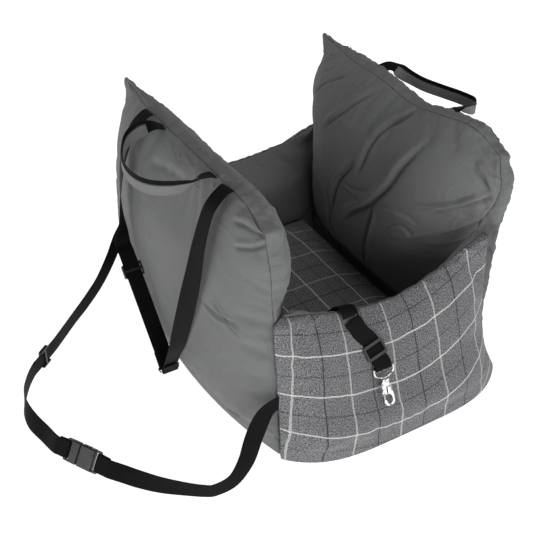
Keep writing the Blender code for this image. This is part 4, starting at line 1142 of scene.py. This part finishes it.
def stuffed_panel(side, swell_out, swell_in, lean, folds, seed):
    word = "left" if side < 0 else "right"
    ob = cage(word + "_panel", panel_place(side, swell_out, swell_in, lean),
              spread(52, 0.5), spread(44, 0.4), (-1, -0.5, 0, 0.5, 1), 0.5, 1)
    mesh = ob.data
    lines = seam_lines(mesh, OUTER, GUSSET) + seam_lines(mesh, GUSSET, INNER)
    dist, where = seam_distance(coords(mesh), lines)
    co = coords(mesh)
    low = np.clip((0.05 - co[:, 2]) / 0.04, 0, 1)
    hold = np.maximum(np.exp(-(dist / 0.0035) ** 2), low)
    puff(ob, hold, 4.0, 0.035, 0.008)
    subdivided(ob, 1)
    mesh = ob.data
    co, no = coords(mesh), normals(mesh)
    _, touch = face_regions(mesh)
    lines = seam_lines(mesh, OUTER, GUSSET) + seam_lines(mesh, GUSSET, INNER)
    dist, where = seam_distance(co, lines)
    flat = co[:, 1:3]
    face_on = (touch[:, OUTER] if side < 0 else touch[:, INNER])
    h = np.zeros(len(co))
    for pts, depth, width, bank_side, bank in folds:
        f = np.zeros(len(co))
        f[face_on] = stroke(flat[face_on], pts, depth * 1.9, width * 0.72, bank_side,
                            bank * 1.6)
        h += f
    gusset = touch[:, GUSSET] & ~touch[:, OUTER] & ~touch[:, INNER]
    h += np.where(gusset, 1.0, 0.8) * pucker(dist, where, 0.016, 0.021, 0.0011, seed)
    h += pucker(dist, where, 0.030, 0.047, 0.0014, seed + 3.0)
    h -= 0.0016 * np.exp(-(dist / 0.0022) ** 2)
    h += 0.0012 * noise_at(co, 16.0, seed) + 0.0006 * noise_at(co, 42.0, seed + 9)
    # thin creases that wander over the cloth, more of them near the seams
    for k, (pull, pace) in enumerate((((1.0, 1.0, 1.7), 13.0), ((1.0, 1.6, 1.0), 17.0))):
        crease = np.clip(1 - np.abs(noise_at(co * np.array(pull), pace, seed + 21 + k)) * 15, 0, 1)
        patch = np.clip(0.30 + 1.8 * noise_at(co, 6.0, seed + 31 + k), 0, 1)
        h += (0.0007 + 0.0018 * np.exp(-(dist / 0.05) ** 2)) * crease ** 1.5 * patch
    keep_low = np.clip((co[:, 2] - 0.006) / 0.02, 0, 1)
    co = co + no * (h * keep_low)[:, None]
    # the face is flatter where the carry handle lies against it
    at_y, at_z, depth = (-0.008, 0.368, 0.015) if side < 0 else (-0.060, 0.408, 0.008)
    press = np.exp(-((co[:, 1] - at_y) / 0.115) ** 4 - ((co[:, 2] - at_z) / 0.055) ** 2)
    press *= np.clip((np.abs(co[:, 0]) - 0.226) / 0.014, 0, 1)
    co[:, 0] -= side * depth * press
    put_coords(mesh, co)
    return ob, dist


def finish_cloth(ob, dist, mat, slot, name, body, *nodes):
    mesh = ob.data
    set_seam(mesh, dist)
    metric_uv(mesh, box_project)
    bpy.data.objects.remove(ob, do_unlink=True)
    mesh.polygons.foreach_set("material_index",
                              np.zeros(len(mesh.polygons), dtype=np.int32))
    return show(name, mesh, mat, body, slot, *nodes)


for side, out, inn, lean, folds, seed in ((-1, 0.050, 0.050, 0.0, LEFT_FOLDS, 2.0),
                                          (1, 0.046, 0.078, 0.010, RIGHT_FOLDS, 7.0)):
    word = "left" if side < 0 else "right"
    ob, dist = stuffed_panel(side, out, inn, lean, folds, seed)
    piece = finish_cloth(ob, dist, CANVAS, "canvas", word + "_panel_cloth", "seat",
                         word + "_panel_cover", word + "_panel_fill")


# ---- low walls: the plaid outside and the plain lining that rolls over the top
def part_of(ob, name, regions):
    """A copy of the form that keeps the faces of these regions."""
    bm = bmesh.new()
    bm.from_mesh(ob.data)
    bmesh.ops.delete(bm, geom=[f for f in bm.faces if f.material_index not in regions],
                     context="FACES")
    mesh = bpy.data.meshes.new(name)
    bm.to_mesh(mesh)
    bm.free()
    return mesh


def arc_down(mesh):
    """Length along the cloth from the top seam to each vertex of the outer face, read down
    the columns of the cage's own grid."""
    uv = cage_uv(mesh)
    co = coords(mesh)
    mat, touch = face_regions(mesh)
    up = touch[:, ROLL] & ~touch[:, OUTER]
    full = np.zeros(len(co))
    edge = co[touch[:, ROLL] & touch[:, OUTER]]
    order = np.argsort(edge[:, 0])
    near = np.stack([np.interp(co[up, 0], edge[order, 0], edge[order, k]) for k in range(3)], 1)
    full[up] = -np.linalg.norm(co[up] - near, axis=1)
    keep = np.nonzero(touch[:, OUTER])[0]
    uv, low = uv[keep], co[keep]
    u_key = np.round(uv[:, 0], 4)
    v_key = np.round(uv[:, 1], 4)
    us, iu = np.unique(u_key, return_inverse=True)
    vs, iv = np.unique(v_key, return_inverse=True)
    grid = np.full((len(us), len(vs)), -1)
    grid[iu, iv] = np.arange(len(low))
    arc = np.zeros(len(low))
    run = np.zeros(len(us))
    last = grid[:, -1]
    for j in range(len(vs) - 2, -1, -1):
        here = grid[:, j]
        ok = (here >= 0) & (last >= 0)
        run[ok] += np.linalg.norm(low[here[ok]] - low[last[ok]], axis=1)
        arc[here[ok]] = run[ok]
        last = np.where(here >= 0, here, last)
    full[keep] = arc
    return full


CHECK_A, CHECK_B = 0.0905, 0.0740


def wall_seams(mesh):
    """The line round the plaid: over the crown, down both ends and along the foot."""
    return (seam_lines(mesh, ROLL, GUSSET) + seam_lines(mesh, OUTER, GUSSET))


def stuffed_wall(side, seed):
    word = "front" if side < 0 else "rear"
    ob = cage(word + "_wall", wall_place(side), spread(46, 0.5), spread(26, 0.3),
              (-1, -0.75, -0.5, -0.25, 0, 0.25, 0.5, 0.75, 1), 0.5, 1, True)
    mesh = ob.data
    co = coords(mesh)
    lines = wall_seams(mesh)
    dist, where = seam_distance(co, lines)
    low = np.clip((0.04 - co[:, 2]) / 0.03, 0, 1)
    ends = np.clip((np.abs(co[:, 0]) - 0.198) / 0.02, 0, 1)
    hold = np.maximum(np.maximum(np.exp(-(dist / 0.0035) ** 2), low), ends)
    puff(ob, hold, 3.0, 0.03, 0.006)
    subdivided(ob, 1)
    mesh = ob.data
    co, no = coords(mesh), normals(mesh)
    lines = wall_seams(mesh)
    dist, where = seam_distance(co, lines)
    h = pucker(dist, where, 0.014, 0.017, 0.0009, seed)
    h += pucker(dist, where, 0.030, 0.052, 0.0012, seed + 2.0)
    h -= 0.0012 * np.exp(-(dist / 0.0022) ** 2)
    h += 0.0012 * noise_at(co, 14.0, seed) + 0.0005 * noise_at(co, 40.0, seed + 5)
    keep = np.clip((co[:, 2] - 0.006) / 0.02, 0, 1) * np.clip((0.215 - np.abs(co[:, 0])) / 0.012, 0.15, 1)
    co = co + no * (h * keep)[:, None]
    if side < 0:        # the snap hangs against the plaid here and keeps it flat
        flat = np.exp(-((co[:, 0] + 0.054) / 0.050) ** 2 - ((co[:, 2] - 0.105) / 0.050) ** 2)
        co[:, 1] += 0.0065 * flat * np.clip((-0.27 - co[:, 1]) / 0.01, 0, 1)
    put_coords(mesh, co)
    set_seam(mesh, dist)
    outer = part_of(ob, word + "_wall_plaid", (OUTER, ROLL))
    inner = part_of(ob, word + "_wall_inside", (GUSSET, INNER))
    bpy.data.objects.remove(ob, do_unlink=True)
    arc = arc_down(outer)
    index, lco, _ = metric_uv(outer, lambda c, n: np.stack([c[:, 0], c[:, 2]], 1))
    u = lco[:, 0] * (1 + 0.45 * (lco[:, 2] - 0.11))
    v = arc[index]
    uv = outer.uv_layers["cloth"]
    uv.data.foreach_set("uv", np.stack([u, v], 1).astype(np.float32).ravel())
    shift = 0.025 + 0.008 * np.clip((-0.12 - u) / 0.094, 0, 1)
    check = outer.uv_layers.new(name="check")
    check.data.foreach_set("uv", np.stack([(u + shift) / CHECK_A, (v - 0.049) / CHECK_B],
                                          1).astype(np.float32).ravel())
    metric_uv(inner, box_project)
    for mesh in (outer, inner):
        mesh.polygons.foreach_set("material_index",
                                  np.zeros(len(mesh.polygons), dtype=np.int32))
    a = show(word + "_wall_plaid", outer, PLAID, "seat", "plaid", word + "_wall_plaid_cover")
    b = show(word + "_wall_inside", inner, LINING, "seat", "lining", word + "_wall_lining",
             word + "_wall_fill")


stuffed_wall(-1, 11.0)
stuffed_wall(1, 17.0)

# ---- loose cushion
ob = cage("cushion", cushion_place, spread(30, 0.4), spread(46, 0.3), (-1, -0.5, 0, 0.5, 1),
          0.4, 1)
mesh = ob.data
co = coords(mesh)
lines = seam_lines(mesh, OUTER, GUSSET) + seam_lines(mesh, GUSSET, INNER)
dist, where = seam_distance(co, lines)
low = np.clip((0.012 - co[:, 2]) / 0.006, 0, 1)
rim_near = np.clip((np.maximum(np.abs(co[:, 0]) - 0.120, np.abs(co[:, 1]) - 0.200)) / 0.02, 0, 1)
puff(ob, np.maximum(np.maximum(np.exp(-(dist / 0.003) ** 2), low), rim_near * 0.9), 3.0, 0.03, 0.006)
subdivided(ob, 1)
mesh = ob.data
co, no = coords(mesh), normals(mesh)
lines = seam_lines(mesh, GUSSET, INNER)
dist, where = seam_distance(co, lines)
h = pucker(dist, where, 0.018, 0.024, 0.0010, 23.0)
h += 0.0020 * noise_at(co, 11.0, 23.0) + 0.0008 * noise_at(co, 30.0, 29.0)
h -= 0.0012 * np.exp(-(dist / 0.0022) ** 2)
h *= np.clip((co[:, 2] - 0.008) / 0.02, 0, 1)
co = co + no * h[:, None]
put_coords(mesh, co)
set_seam(mesh, dist)
index, lco, _ = metric_uv(mesh, lambda c, n: c[:, :2])
drop = np.maximum(0.050 - lco[:, 2], 0)
out_x = np.abs(lco[:, 0]) / CUSHION[0] > np.abs(lco[:, 1]) / CUSHION[1]
u = lco[:, 0] + np.where(out_x, np.sign(lco[:, 0]) * drop, 0)
v = lco[:, 1] + np.where(out_x, 0, np.sign(lco[:, 1]) * drop)
mesh.uv_layers["cloth"].data.foreach_set("uv", np.stack([v, u], 1).astype(np.float32).ravel())
check = mesh.uv_layers.new(name="check")
check.data.foreach_set("uv", np.stack([(v + 0.001) / CHECK_A, (u - 0.012) / CHECK_B],
                                      1).astype(np.float32).ravel())
bpy.data.objects.remove(ob, do_unlink=True)
mesh.polygons.foreach_set("material_index", np.zeros(len(mesh.polygons), dtype=np.int32))
cushion = show("seat_cushion", mesh, PLAID, "seat", "plaid", "seat_cushion_cover",
               "seat_cushion_fill")

# ---- base: a flat sewn board with a soft edge
ring = []
for q in range(4):
    for k in range(24):
        t = -1 + 2 * k / 24
        bow = 1 - abs(t) ** 2.6
        ring.append([(t * 0.214, -(0.300 + (WALL_FOOT - 0.004) * bow)),
                     ((0.216 + (FOOT - 0.004) * bow), t * 0.298),
                     (-t * 0.214, 0.300 + (WALL_FOOT - 0.004) * bow),
                     (-(0.216 + (FOOT - 0.004) * bow), -t * 0.298)][q])
ring = np.array(ring)
levels = [(0.97, 0.0), (0.994, 0.0004), (1.0, 0.0015), (1.0, 0.0027), (0.994, 0.0037),
          (0.97, 0.0040)]
verts = [(x * f, y * f, z) for f, z in levels for x, y in ring]
count = len(ring)
faces = [(i * count + j, i * count + (j + 1) % count, (i + 1) * count + (j + 1) % count,
          (i + 1) * count + j) for i in range(len(levels) - 1) for j in range(count)]
for base_at, z, flip in ((0, 0.0, True), ((len(levels) - 1) * count, 0.0040, False)):
    start = base_at
    for f in (0.7, 0.4, 0.1):
        here = len(verts)
        verts += [(x * f, y * f, z) for x, y in ring]
        for j in range(count):
            quad = (start + j, start + (j + 1) % count, here + (j + 1) % count, here + j)
            faces.append(quad[::-1] if flip else quad)
        start = here
    last = tuple(start + j for j in range(count))
    faces.append(last[::-1] if flip else last)
mesh = bpy.data.meshes.new("base_board")
mesh.from_pydata(verts, [], faces)
bm = bmesh.new()
bm.from_mesh(mesh)
bmesh.ops.recalc_face_normals(bm, faces=bm.faces)
bm.to_mesh(mesh)
bm.free()
metric_uv(mesh, box_project)
set_seam(mesh, np.full(len(verts), 0.05))
base_piece = show("base_cloth", mesh, CANVAS, "seat", "canvas", "base_panel")

# ---------------------------------------------------------------- carry handles
LEFT_GRIP = [(-0.2270, 0.082, 0.4400), (-0.246, 0.087, 0.4455), (-0.272, 0.092, 0.4400),
             (-0.300, 0.078, 0.4330), (-0.323, 0.036, 0.4270), (-0.331, -0.012, 0.4250),
             (-0.323, -0.055, 0.4270), (-0.300, -0.086, 0.4320), (-0.272, -0.103, 0.4390),
             (-0.246, -0.103, 0.4450), (-0.2270, -0.100, 0.4400)]
LEFT_SIDES = [(0, 1, 0), (0.1, 1, 0.25), (0.1, 0.5, 0.85), (0, 0.1, 1), (0, 0, 1),
              (0, 0, 1), (0, 0, 1), (0, -0.1, 1), (0.1, -0.5, 0.85), (0.1, -1, 0.25),
              (0, -1, 0)]
RIGHT_GRIP = [(0.2060, 0.094, 0.4340), (0.240, 0.084, 0.4460), (0.260, 0.056, 0.4340),
              (0.274, 0.024, 0.4260), (0.291, -0.010, 0.4220), (0.304, -0.045, 0.4210),
              (0.308, -0.078, 0.4220), (0.292, -0.100, 0.4270), (0.268, -0.110, 0.4370),
              (0.243, -0.112, 0.4420), (0.2210, -0.112, 0.4320)]
RIGHT_SIDES = [(0, 1, 0), (-0.1, 1, 0.25), (-0.1, 0.5, 0.85), (0, 0.1, 1), (0, 0, 1),
               (0, 0, 1), (0, 0, 1), (0, -0.1, 1), (-0.1, -0.5, 0.85), (-0.1, -1, 0.25),
               (0, -1, 0)]


def edge_runs(frames, half, out, inset=0.0016, skip=0.004):
    """Two lines along a strap's edges, just above its face on the side of out."""
    path, across, face, tangent, at = frames
    keep = (at > skip) & (at < at[-1] - skip)
    runs = []
    for s in (-1, 1):
        runs.append((path[keep] + across[keep] * (s * (half - inset)) + face[keep] * out,
                     face[keep] * math.copysign(1, out)))
    return runs


def folded_section(low, high, outer, inner):
    """A strip folded over the strap's lower edge: its outline in (across, face)."""
    pts = [(high, outer)]
    for k in range(7):
        a = high + (low + outer - high) * (k + 1) / 7
        pts.append((a, outer))
    for k in range(1, 8):
        a = math.pi / 2 + math.pi * k / 8
        pts.append((low + outer + outer * math.cos(a), outer * math.sin(a)))
    for k in range(8):
        a = low + outer + (high - low - outer) * k / 7
        pts.append((a, -outer))
    pts.append((high, -inner))
    for k in range(7):
        a = high + (low + outer - high) * (k + 1) / 7
        pts.append((a, -inner))
    for k in range(1, 5):
        a = -math.pi / 2 - math.pi * k / 5
        pts.append((low + outer + inner * math.cos(a), inner * math.sin(a)))
    for k in range(8):
        a = low + outer + (high - low - outer) * k / 7
        pts.append((a, inner))
    return pts


FACING = folded_section(-0.0140, 0.0042, 0.0021, 0.0011)
for word, grip, sides, off in (("left", LEFT_GRIP, LEFT_SIDES, -1),
                               ("right", RIGHT_GRIP, RIGHT_SIDES, 1)):
    webbing(word + "_handle_strap", grip, sides, GRIP, WEBBING, word + "_handle", "webbing",
            word + "_handle_webbing")
    _, fr = webbing(word + "_handle_facing", grip, sides, GRIP, TAPE, word + "_handle",
                    "handle_tape", word + "_handle_tape", keep=(4.3 / 3, 25.7 / 3),
                    section=FACING)
    path, across, face, tangent, at = fr
    shifted = (path - across * 0.0030, across, face, tangent, at)
    stitches(word + "_handle_stitching",
             [r for s in (1, -1) for r in edge_runs(shifted, 0.0102, s * 0.0021)],
             GREY_THREAD, word + "_handle")

# ---------------------------------------------------------------- hanging support strap
RING_AT = Vector((-0.3040, -0.0380, 0.0270))
RING_BAR = Vector((1.0, 0.0, 0.0))
GLIDE_AT = Vector((-0.3040, 0.0960, 0.1620))
BACK_BAR = RING_AT + Vector((0.0, 0.0060, 0.0))
WRAP_R = RING_WIRE + WEB_T / 2 + 0.0013
run_dir = (BACK_BAR - GLIDE_AT).normalized()
for _k in range(4):
    back_side = (RING_BAR - run_dir * RING_BAR.dot(run_dir)).normalized()
    back_normal = run_dir.cross(back_side).normalized()
    run_dir = (BACK_BAR + back_normal * WRAP_R - GLIDE_AT).normalized()
route = [(-0.2325, 0.126, 0.4500), (-0.244, 0.126, 0.4470), (-0.268, 0.126, 0.4240),
         (-0.290, 0.127, 0.3700), (-0.300, 0.128, 0.3100), (-0.3035, 0.129, 0.2550)]
sides = [(0, 1, 0), (0, 1, 0), (0.05, 1, 0), (0.15, 0.98, 0), (0.35, 0.92, 0.05),
         (0.6, 0.75, 0.1)]
for s in (0.058, 0.036, 0.018, 0.0):
    route.append(tuple(GLIDE_AT - run_dir * s))
    sides.append(tuple(back_side))
for f in (0.25, 0.5, 0.75):
    route.append(tuple(GLIDE_AT.lerp(BACK_BAR + back_normal * WRAP_R, f)))
    sides.append(tuple(back_side))
for q in wrap(BACK_BAR, -run_dir, back_normal, WRAP_R, 0.030):
    route.append(tuple(q))
    sides.append(tuple(back_side))
_, back_frames = webbing("support_webbing_back", route, sides, WEB, WEBBING, "support_strap",
                         "webbing", "support_strap_back")

FRONT_BAR = RING_AT - Vector((0.0, 0.0060, 0.0))
front_top = [(-0.2325, -0.158, 0.4500), (-0.244, -0.159, 0.4470), (-0.268, -0.160, 0.4230),
             (-0.286, -0.160, 0.3700), (-0.295, -0.152, 0.3100), (-0.300, -0.136, 0.2500),
             (-0.303, -0.112, 0.1800), (-0.304, -0.086, 0.1150)]
front_sides = [(0, 1, 0), (0, 1, 0), (-0.05, 1, 0.03), (-0.20, 0.97, 0.05),
               (-0.45, 0.88, 0.10), (-0.70, 0.68, 0.12), (-0.86, 0.45, 0.10),
               (-0.95, 0.20, 0.05)]
front_dir = (FRONT_BAR - Vector(front_top[-1])).normalized()
front_side = (RING_BAR - front_dir * RING_BAR.dot(front_dir)).normalized()
front_normal = front_dir.cross(front_side).normalized()
route, sides = list(front_top), list(front_sides)
for f in (0.45, 0.8):
    route.append(tuple(Vector(front_top[-1]).lerp(FRONT_BAR - front_normal * WRAP_R, f)))
    sides.append(tuple(-front_side))
for q in wrap(FRONT_BAR, -front_dir, -front_normal, WRAP_R, 0.022):
    route.append(tuple(q))
    sides.append(tuple(-front_side))
_, front_frames = webbing("support_webbing_front", route, sides, WEB, WEBBING,
                          "support_strap", "webbing", "support_strap_front")

# ---------------------------------------------------------------- restraint leash
LEASH_TOP = Vector((-0.0980, -0.2920, 0.2340))
anchor = [(-0.0940, -0.2270, 0.1500), (-0.0940, -0.2280, 0.1850), (-0.0938, -0.2400, 0.2080),
          (-0.0934, -0.2520, 0.2260), (-0.0928, -0.2630, 0.2410), (-0.0922, -0.2740, 0.2500),
          (-0.0914, -0.2850, 0.2470), (-0.0908, -0.2915, 0.2395)]
webbing("leash_anchor_webbing", anchor, [(1, 0, -0.05)] * 3 + [(1, 0, -0.2)] * 3
        + [(1, 0, -0.1), (1, 0, 0.05)], WEB, WEBBING, "seat", "webbing", "leash_anchor_strap")
HOOK_AT = Vector((-0.0547, -0.3392, 0.1524))
LEASH_GLIDE_AT = Vector((-0.0622, -0.3202, 0.1796))
leash_dir = (HOOK_AT - LEASH_GLIDE_AT).normalized()
LEASH_SIDE = Vector((1.0, 0.0, 0.12))
leash_side = (LEASH_SIDE - leash_dir * LEASH_SIDE.dot(leash_dir)).normalized()
leash_face = leash_side.cross(leash_dir)
if leash_face.y > 0:
    leash_face = -leash_face
hook_run = Vector((0.0, -0.56, -0.83)).normalized()
hook_side = (LEASH_SIDE - hook_run * LEASH_SIDE.dot(hook_run)).normalized()
hook_face = hook_side.cross(hook_run)
if hook_face.y > 0:
    hook_face = -hook_face
EYE_R = 0.0017 + WEB_T / 2 + 0.0006
route = [(-0.0900, -0.2935, 0.2335), (-0.0855, -0.2990, 0.2250), (-0.0780, -0.3068, 0.2090)]
sides = [tuple(LEASH_SIDE)] * 3
for s in (0.018, 0.009, 0.0, -0.009, -0.016):
    route.append(tuple(LEASH_GLIDE_AT - leash_dir * s + leash_face * EYE_R))
    sides.append(tuple(leash_side))
route.append(tuple(HOOK_AT - hook_run * 0.008 + hook_face * EYE_R))
sides.append(tuple(hook_side))
for q in wrap(HOOK_AT, -hook_run, hook_face, EYE_R, 0.016):
    route.append(tuple(q))
    sides.append(tuple(hook_side))
_, leash_frames = webbing("leash_webbing", route, sides, WEB, WEBBING, "leash", "webbing",
                          "leash_strap")

# ---------------------------------------------------------------- hardware finishes
for mat, names in ((BLACK_PLASTIC, ("belt_adjuster", "support_strap_adjuster",
                                    "buckle_socket", "buckle_plug", "buckle_prong_upper",
                                    "buckle_prong_lower")),
                   (DARK_PLASTIC, ("leash_adjuster",)),
                   (CHROME, ("support_strap_ring", "snap_eye", "snap_body", "snap_bolt")),
                   (SPRING, ("snap_spring",))):
    for n in names:
        node = frame["nodes"][n]
        if not node.material_slots:
            node.data.materials.append(mat)
        for s in node.material_slots:
            s.material = mat

# ---------------------------------------------------------------- floor and light
floor_mesh = bpy.data.meshes.new("floor")
floor_mesh.from_pydata([(-6, -6, 0), (6, -6, 0), (6, 6, 0), (-6, 6, 0)], [], [(0, 1, 2, 3)])
floor = bpy.data.objects.new("floor", floor_mesh)
floor.location = (0, 0, -0.0002)
g = Graph("pale_floor", 0.9)
g.bsdf.inputs["Base Color"].default_value = (0.60, 0.60, 0.60, 1)
g.bsdf.inputs["Emission Color"].default_value = (1.0, 1.0, 1.0, 1)
g.bsdf.inputs["Emission Strength"].default_value = 0.92
g.bsdf.inputs["Specular IOR Level"].default_value = 0.1
floor_mesh.materials.append(g.mat)
SCENE.collection.objects.link(floor)

world = bpy.data.worlds.new("studio")
SCENE.world = world
world.use_nodes = True
wt = world.node_tree
bg = wt.nodes["Background"]
where = wt.nodes.new("ShaderNodeTexCoord")
axes = wt.nodes.new("ShaderNodeSeparateXYZ")
wt.links.new(where.outputs["Generated"], axes.inputs[0])
sky = wt.nodes.new("ShaderNodeValToRGB")
sky.color_ramp.elements[0].position = 0.0
sky.color_ramp.elements[0].color = (1.0, 1.0, 1.0, 1)
sky.color_ramp.elements[1].position = 0.75
sky.color_ramp.elements[1].color = (0.10, 0.10, 0.105, 1)
mid_sky = sky.color_ramp.elements.new(0.35)
mid_sky.color = (0.35, 0.35, 0.355, 1)
wt.links.new(axes.outputs[2], sky.inputs[0])
wt.links.new(sky.outputs[0], bg.inputs["Color"])
bg.inputs["Strength"].default_value = 0.85


def soft_light(name, at, target, size, energy):
    data = bpy.data.lights.new(name, "AREA")
    data.shape = "RECTANGLE"
    data.size, data.size_y = size
    data.energy = energy
    ob = bpy.data.objects.new(name, data)
    ob.location = at
    ob.rotation_euler = (Vector(target) - Vector(at)).to_track_quat("-Z", "Y").to_euler()
    SCENE.collection.objects.link(ob)
    return ob


soft_light("key", (-0.2, -2.6, 1.05), (0, 0, 0.18), (1.6, 1.0), 22)
soft_light("side", (-2.2, -0.7, 0.35), (0, 0, 0.14), (1.2, 0.5), 10)
soft_light("top", (0.3, 0.2, 2.6), (0, 0, 0.1), (1.8, 1.8), 12)

bpy.context.view_layer.update()
